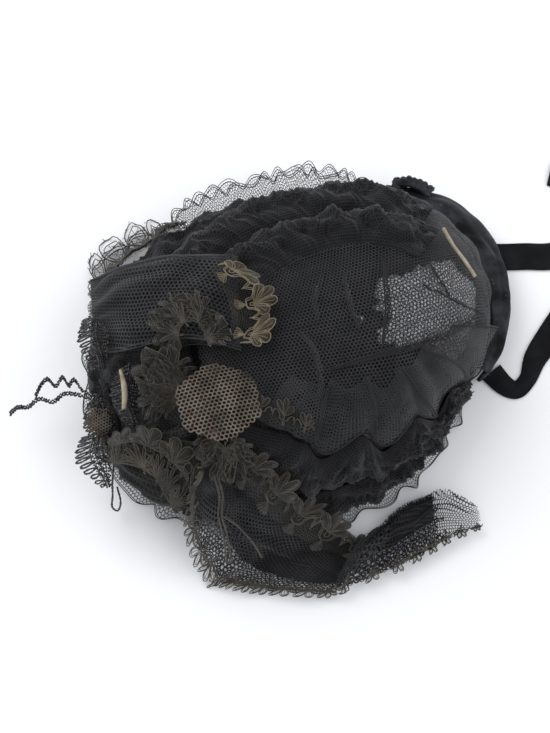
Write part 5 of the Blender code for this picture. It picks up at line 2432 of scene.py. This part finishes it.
class Bonnet:
    """Everything on the bonnet, in the order it is dressed."""

    def body(self) -> list:
        """Crown, gathered rows, frills and velvet."""
        return [
            PlainSolids(), CrownCap(),
            RucheRow("ruche_far_1", 26, 152, 0.44, 0.62, seed=1),
            RucheRow("ruche_far_2", 33, 150, 0.65, 0.81, seed=2),
            RucheRow("ruche_far_3", 49, 158, 0.84, 0.965, seed=3),
            RucheRow("ruche_near_1", -190, -32, 0.02, 0.93, under_crown=True, seed=4),
            RucheRow("ruche_near_2", -196, -29, 0.945, 0.995, puff=0.0055, seed=5),
            Frill(
                "frill_far", 50, 128, 0.016, 0.012, 0.014, 10, growth=1.1, rise=0.015, layers=2, pitch=0.0014,
                bar=0.00024, seed=2,
            ),
            Frill("frill_near", -196, -29, 0.009, 0.005, 0.004, 13, pitch=0.0015, bar=0.0003, seed=3),
            VelvetBinding(), VelvetTwist(), Tie("tie_far", TIE_FAR), Tie("tie_near", TIE_NEAR),
        ]

    def lace_and_net(self) -> list:
        """Corner lace, net loops, drape and their lace, as they were laid."""
        fan = self.fan()
        edge = Palmette(petals=4, spread=66, width=0.34, eye_at=0.66, bud_at=0.8, buds=3, ribs=1)
        loops = Palmette(petals=3, spread=32, width=0.42, eye=0.03, eye_at=0.98, bud_at=1.0, buds=0, ribs=1)
        bow = {"layers": 2, "drop": 0.0012, "backed": 0.97}
        dull = {"filled": DARK_FILL, "cord_finish": DULL_THREAD}
        return [
            BorderLace(
                Lay("corner_lace", CORNER_LACE, 16, 4, 0.8, fall=LIMP_FALL), 4, loops, Held.GATHERED,
                filled=None, cord_finish=LACE_THREAD, cord=0.0006, picots=10, slot="black_lace", double=True,
                deep=0.9, outward=0.14, ground=(0.0013, 0.00024), ruffle=0.0015, ruffles=5, inset=0.0,
                inner=(InnerBand("_inner", 5, fan, 0.42, -0.42),),
            ),
            NetLoop(
                Lay("bow_loop_upper", BOW_UPPER, 18, 5, 0.35), 0.0020, 0.00062, Held.FOLDED, turn=8, seed=11,
                **bow,
            ),
            BorderLace(
                Lay("lace_border_upper", BORDER_UPPER, 12, 2, 0.2), 3,
                Palmette(spread=50, width=0.33, ribs=3), Held.LAID, outward=0.10, cord=0.00045,
            ),
            NetLoop(
                Lay("bow_loop_lower", BOW_LOWER, 14, 4, 0.35), 0.0020, 0.00062, Held.FOLDED, turn=-12,
                seed=12, **bow,
            ),
            BorderLace(
                Lay("lace_border_lower", BORDER_LOWER, 12, 2, 0.2), 4, Palmette(spread=60, width=0.34),
                Held.LAID, outward=0.30, deep=1.3, cord=0.00045,
                inner=(InnerBand("_inner", 5, fan, 0.8, -0.5),), **dull,
            ),
            NetLoop(
                Lay("drape", DRAPE, 14, 6, 0.6, fall=LIMP_FALL), 0.0017, 0.00055, Held.DRAPED, turn=30,
                layers=2, drop=0.0012, flutter=0.0016, flutters=5, seed=13, backed=0.80,
                edging=InnerBand("drape_edge", 13, edge, 0.24, 0.12),
            ),
            BorderLace(
                Lay("drape_lace", DRAPE_LACE, 16, 2, 0.2, fall=LIMP_FALL), 6, Palmette(spread=56, width=0.28),
                Held.DRAPED, outward=0.05, deep=1.1, stems=LACE_STEMS, cord=0.00045, **dull,
            ),
            NetLoop(
                Lay("drape_tail", DRAPE_TAIL, 12, 4, 0.7, fall=LIMP_FALL), 0.0016, 0.00046, Held.DRAPED,
                turn=10, layers=3, single=0.66, fullness=1.25, drop=0.0008, ragged=0.05, flutter=0.001,
                fold=0.0032,
                folds=5, backed=0.6, seed=14, edging=InnerBand("tail_edge", 8, edge, 0.26, 0.05),
            ),
        ]

    def trimmings(self) -> list:
        """Jet leaves and sprays, lace ruffles, and the stiff mesh on top."""
        fan, small = self.fan(), Palmette(petals=3, spread=40, width=0.34, eye_at=0.7, bud_at=0.8, buds=3)
        dull = {"filled": DARK_FILL, "cord_finish": DULL_THREAD}
        leaves = [
            JetLeaf(Lay(f"bead_leaf_{number + 1}", rows, 6, 2, 0.6), seed=number)
            for number, rows in enumerate((BEAD_LEAF_1, BEAD_LEAF_2, BEAD_LEAF_3, BEAD_LEAF_4))
        ]
        ruffles = [
            BorderLace(
                Lay(f"lace_ruffle_{number + 1}", rows, columns, 3, 0.2, lip=lip), motifs, fan, Held.GATHERED,
                ruffle=0.0022, ruffles=5.0, outward=0.2, deep=1.15,
                inner=(InnerBand("_inner", 4, fan, 0.9, -0.30),), **dull,
            )
            for number, (rows, columns, motifs, lip) in enumerate((
                (RUFFLE_1, 20, 4, 0.004), (RUFFLE_2, 14, 3, 0.004), (RUFFLE_3, 14, 3, 0.003),
            ))
        ]
        return [
            *leaves, BeadSpray("bead_spray_1", SPRAY_UPPER), BeadSpray("bead_spray_2", SPRAY_LOWER), *ruffles,
            BorderLace(Lay("lace_leaf", LACE_LEAF, 8, 2, 0.6), 3, small, Held.LAID, **dull),
            BeadString("bead_dangle", HANGING_STRING), Quill(), MeshPlate("mesh_disc"),
            MeshPlate("mesh_petal", pitch=0.0015, bar=0.0005),
        ]

    @staticmethod
    def fan() -> Palmette:
        """Wide fan of narrow petals, the motif of the ruffles."""
        return Palmette(
            petals=8, spread=84, width=0.20, eye=0.05, eye_at=0.86, bud_at=0.92, buds=3, scroll=False,
        )


def main() -> None:
    """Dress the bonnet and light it."""
    logging.basicConfig(level=logging.INFO, format="%(name)s: %(message)s")
    bonnet = Bonnet()
    for part in bonnet.body() + bonnet.lace_and_net() + bonnet.trimmings():
        part.build()
    Studio().build()
    BENCH.report()


if __name__ == "__main__":
    main()
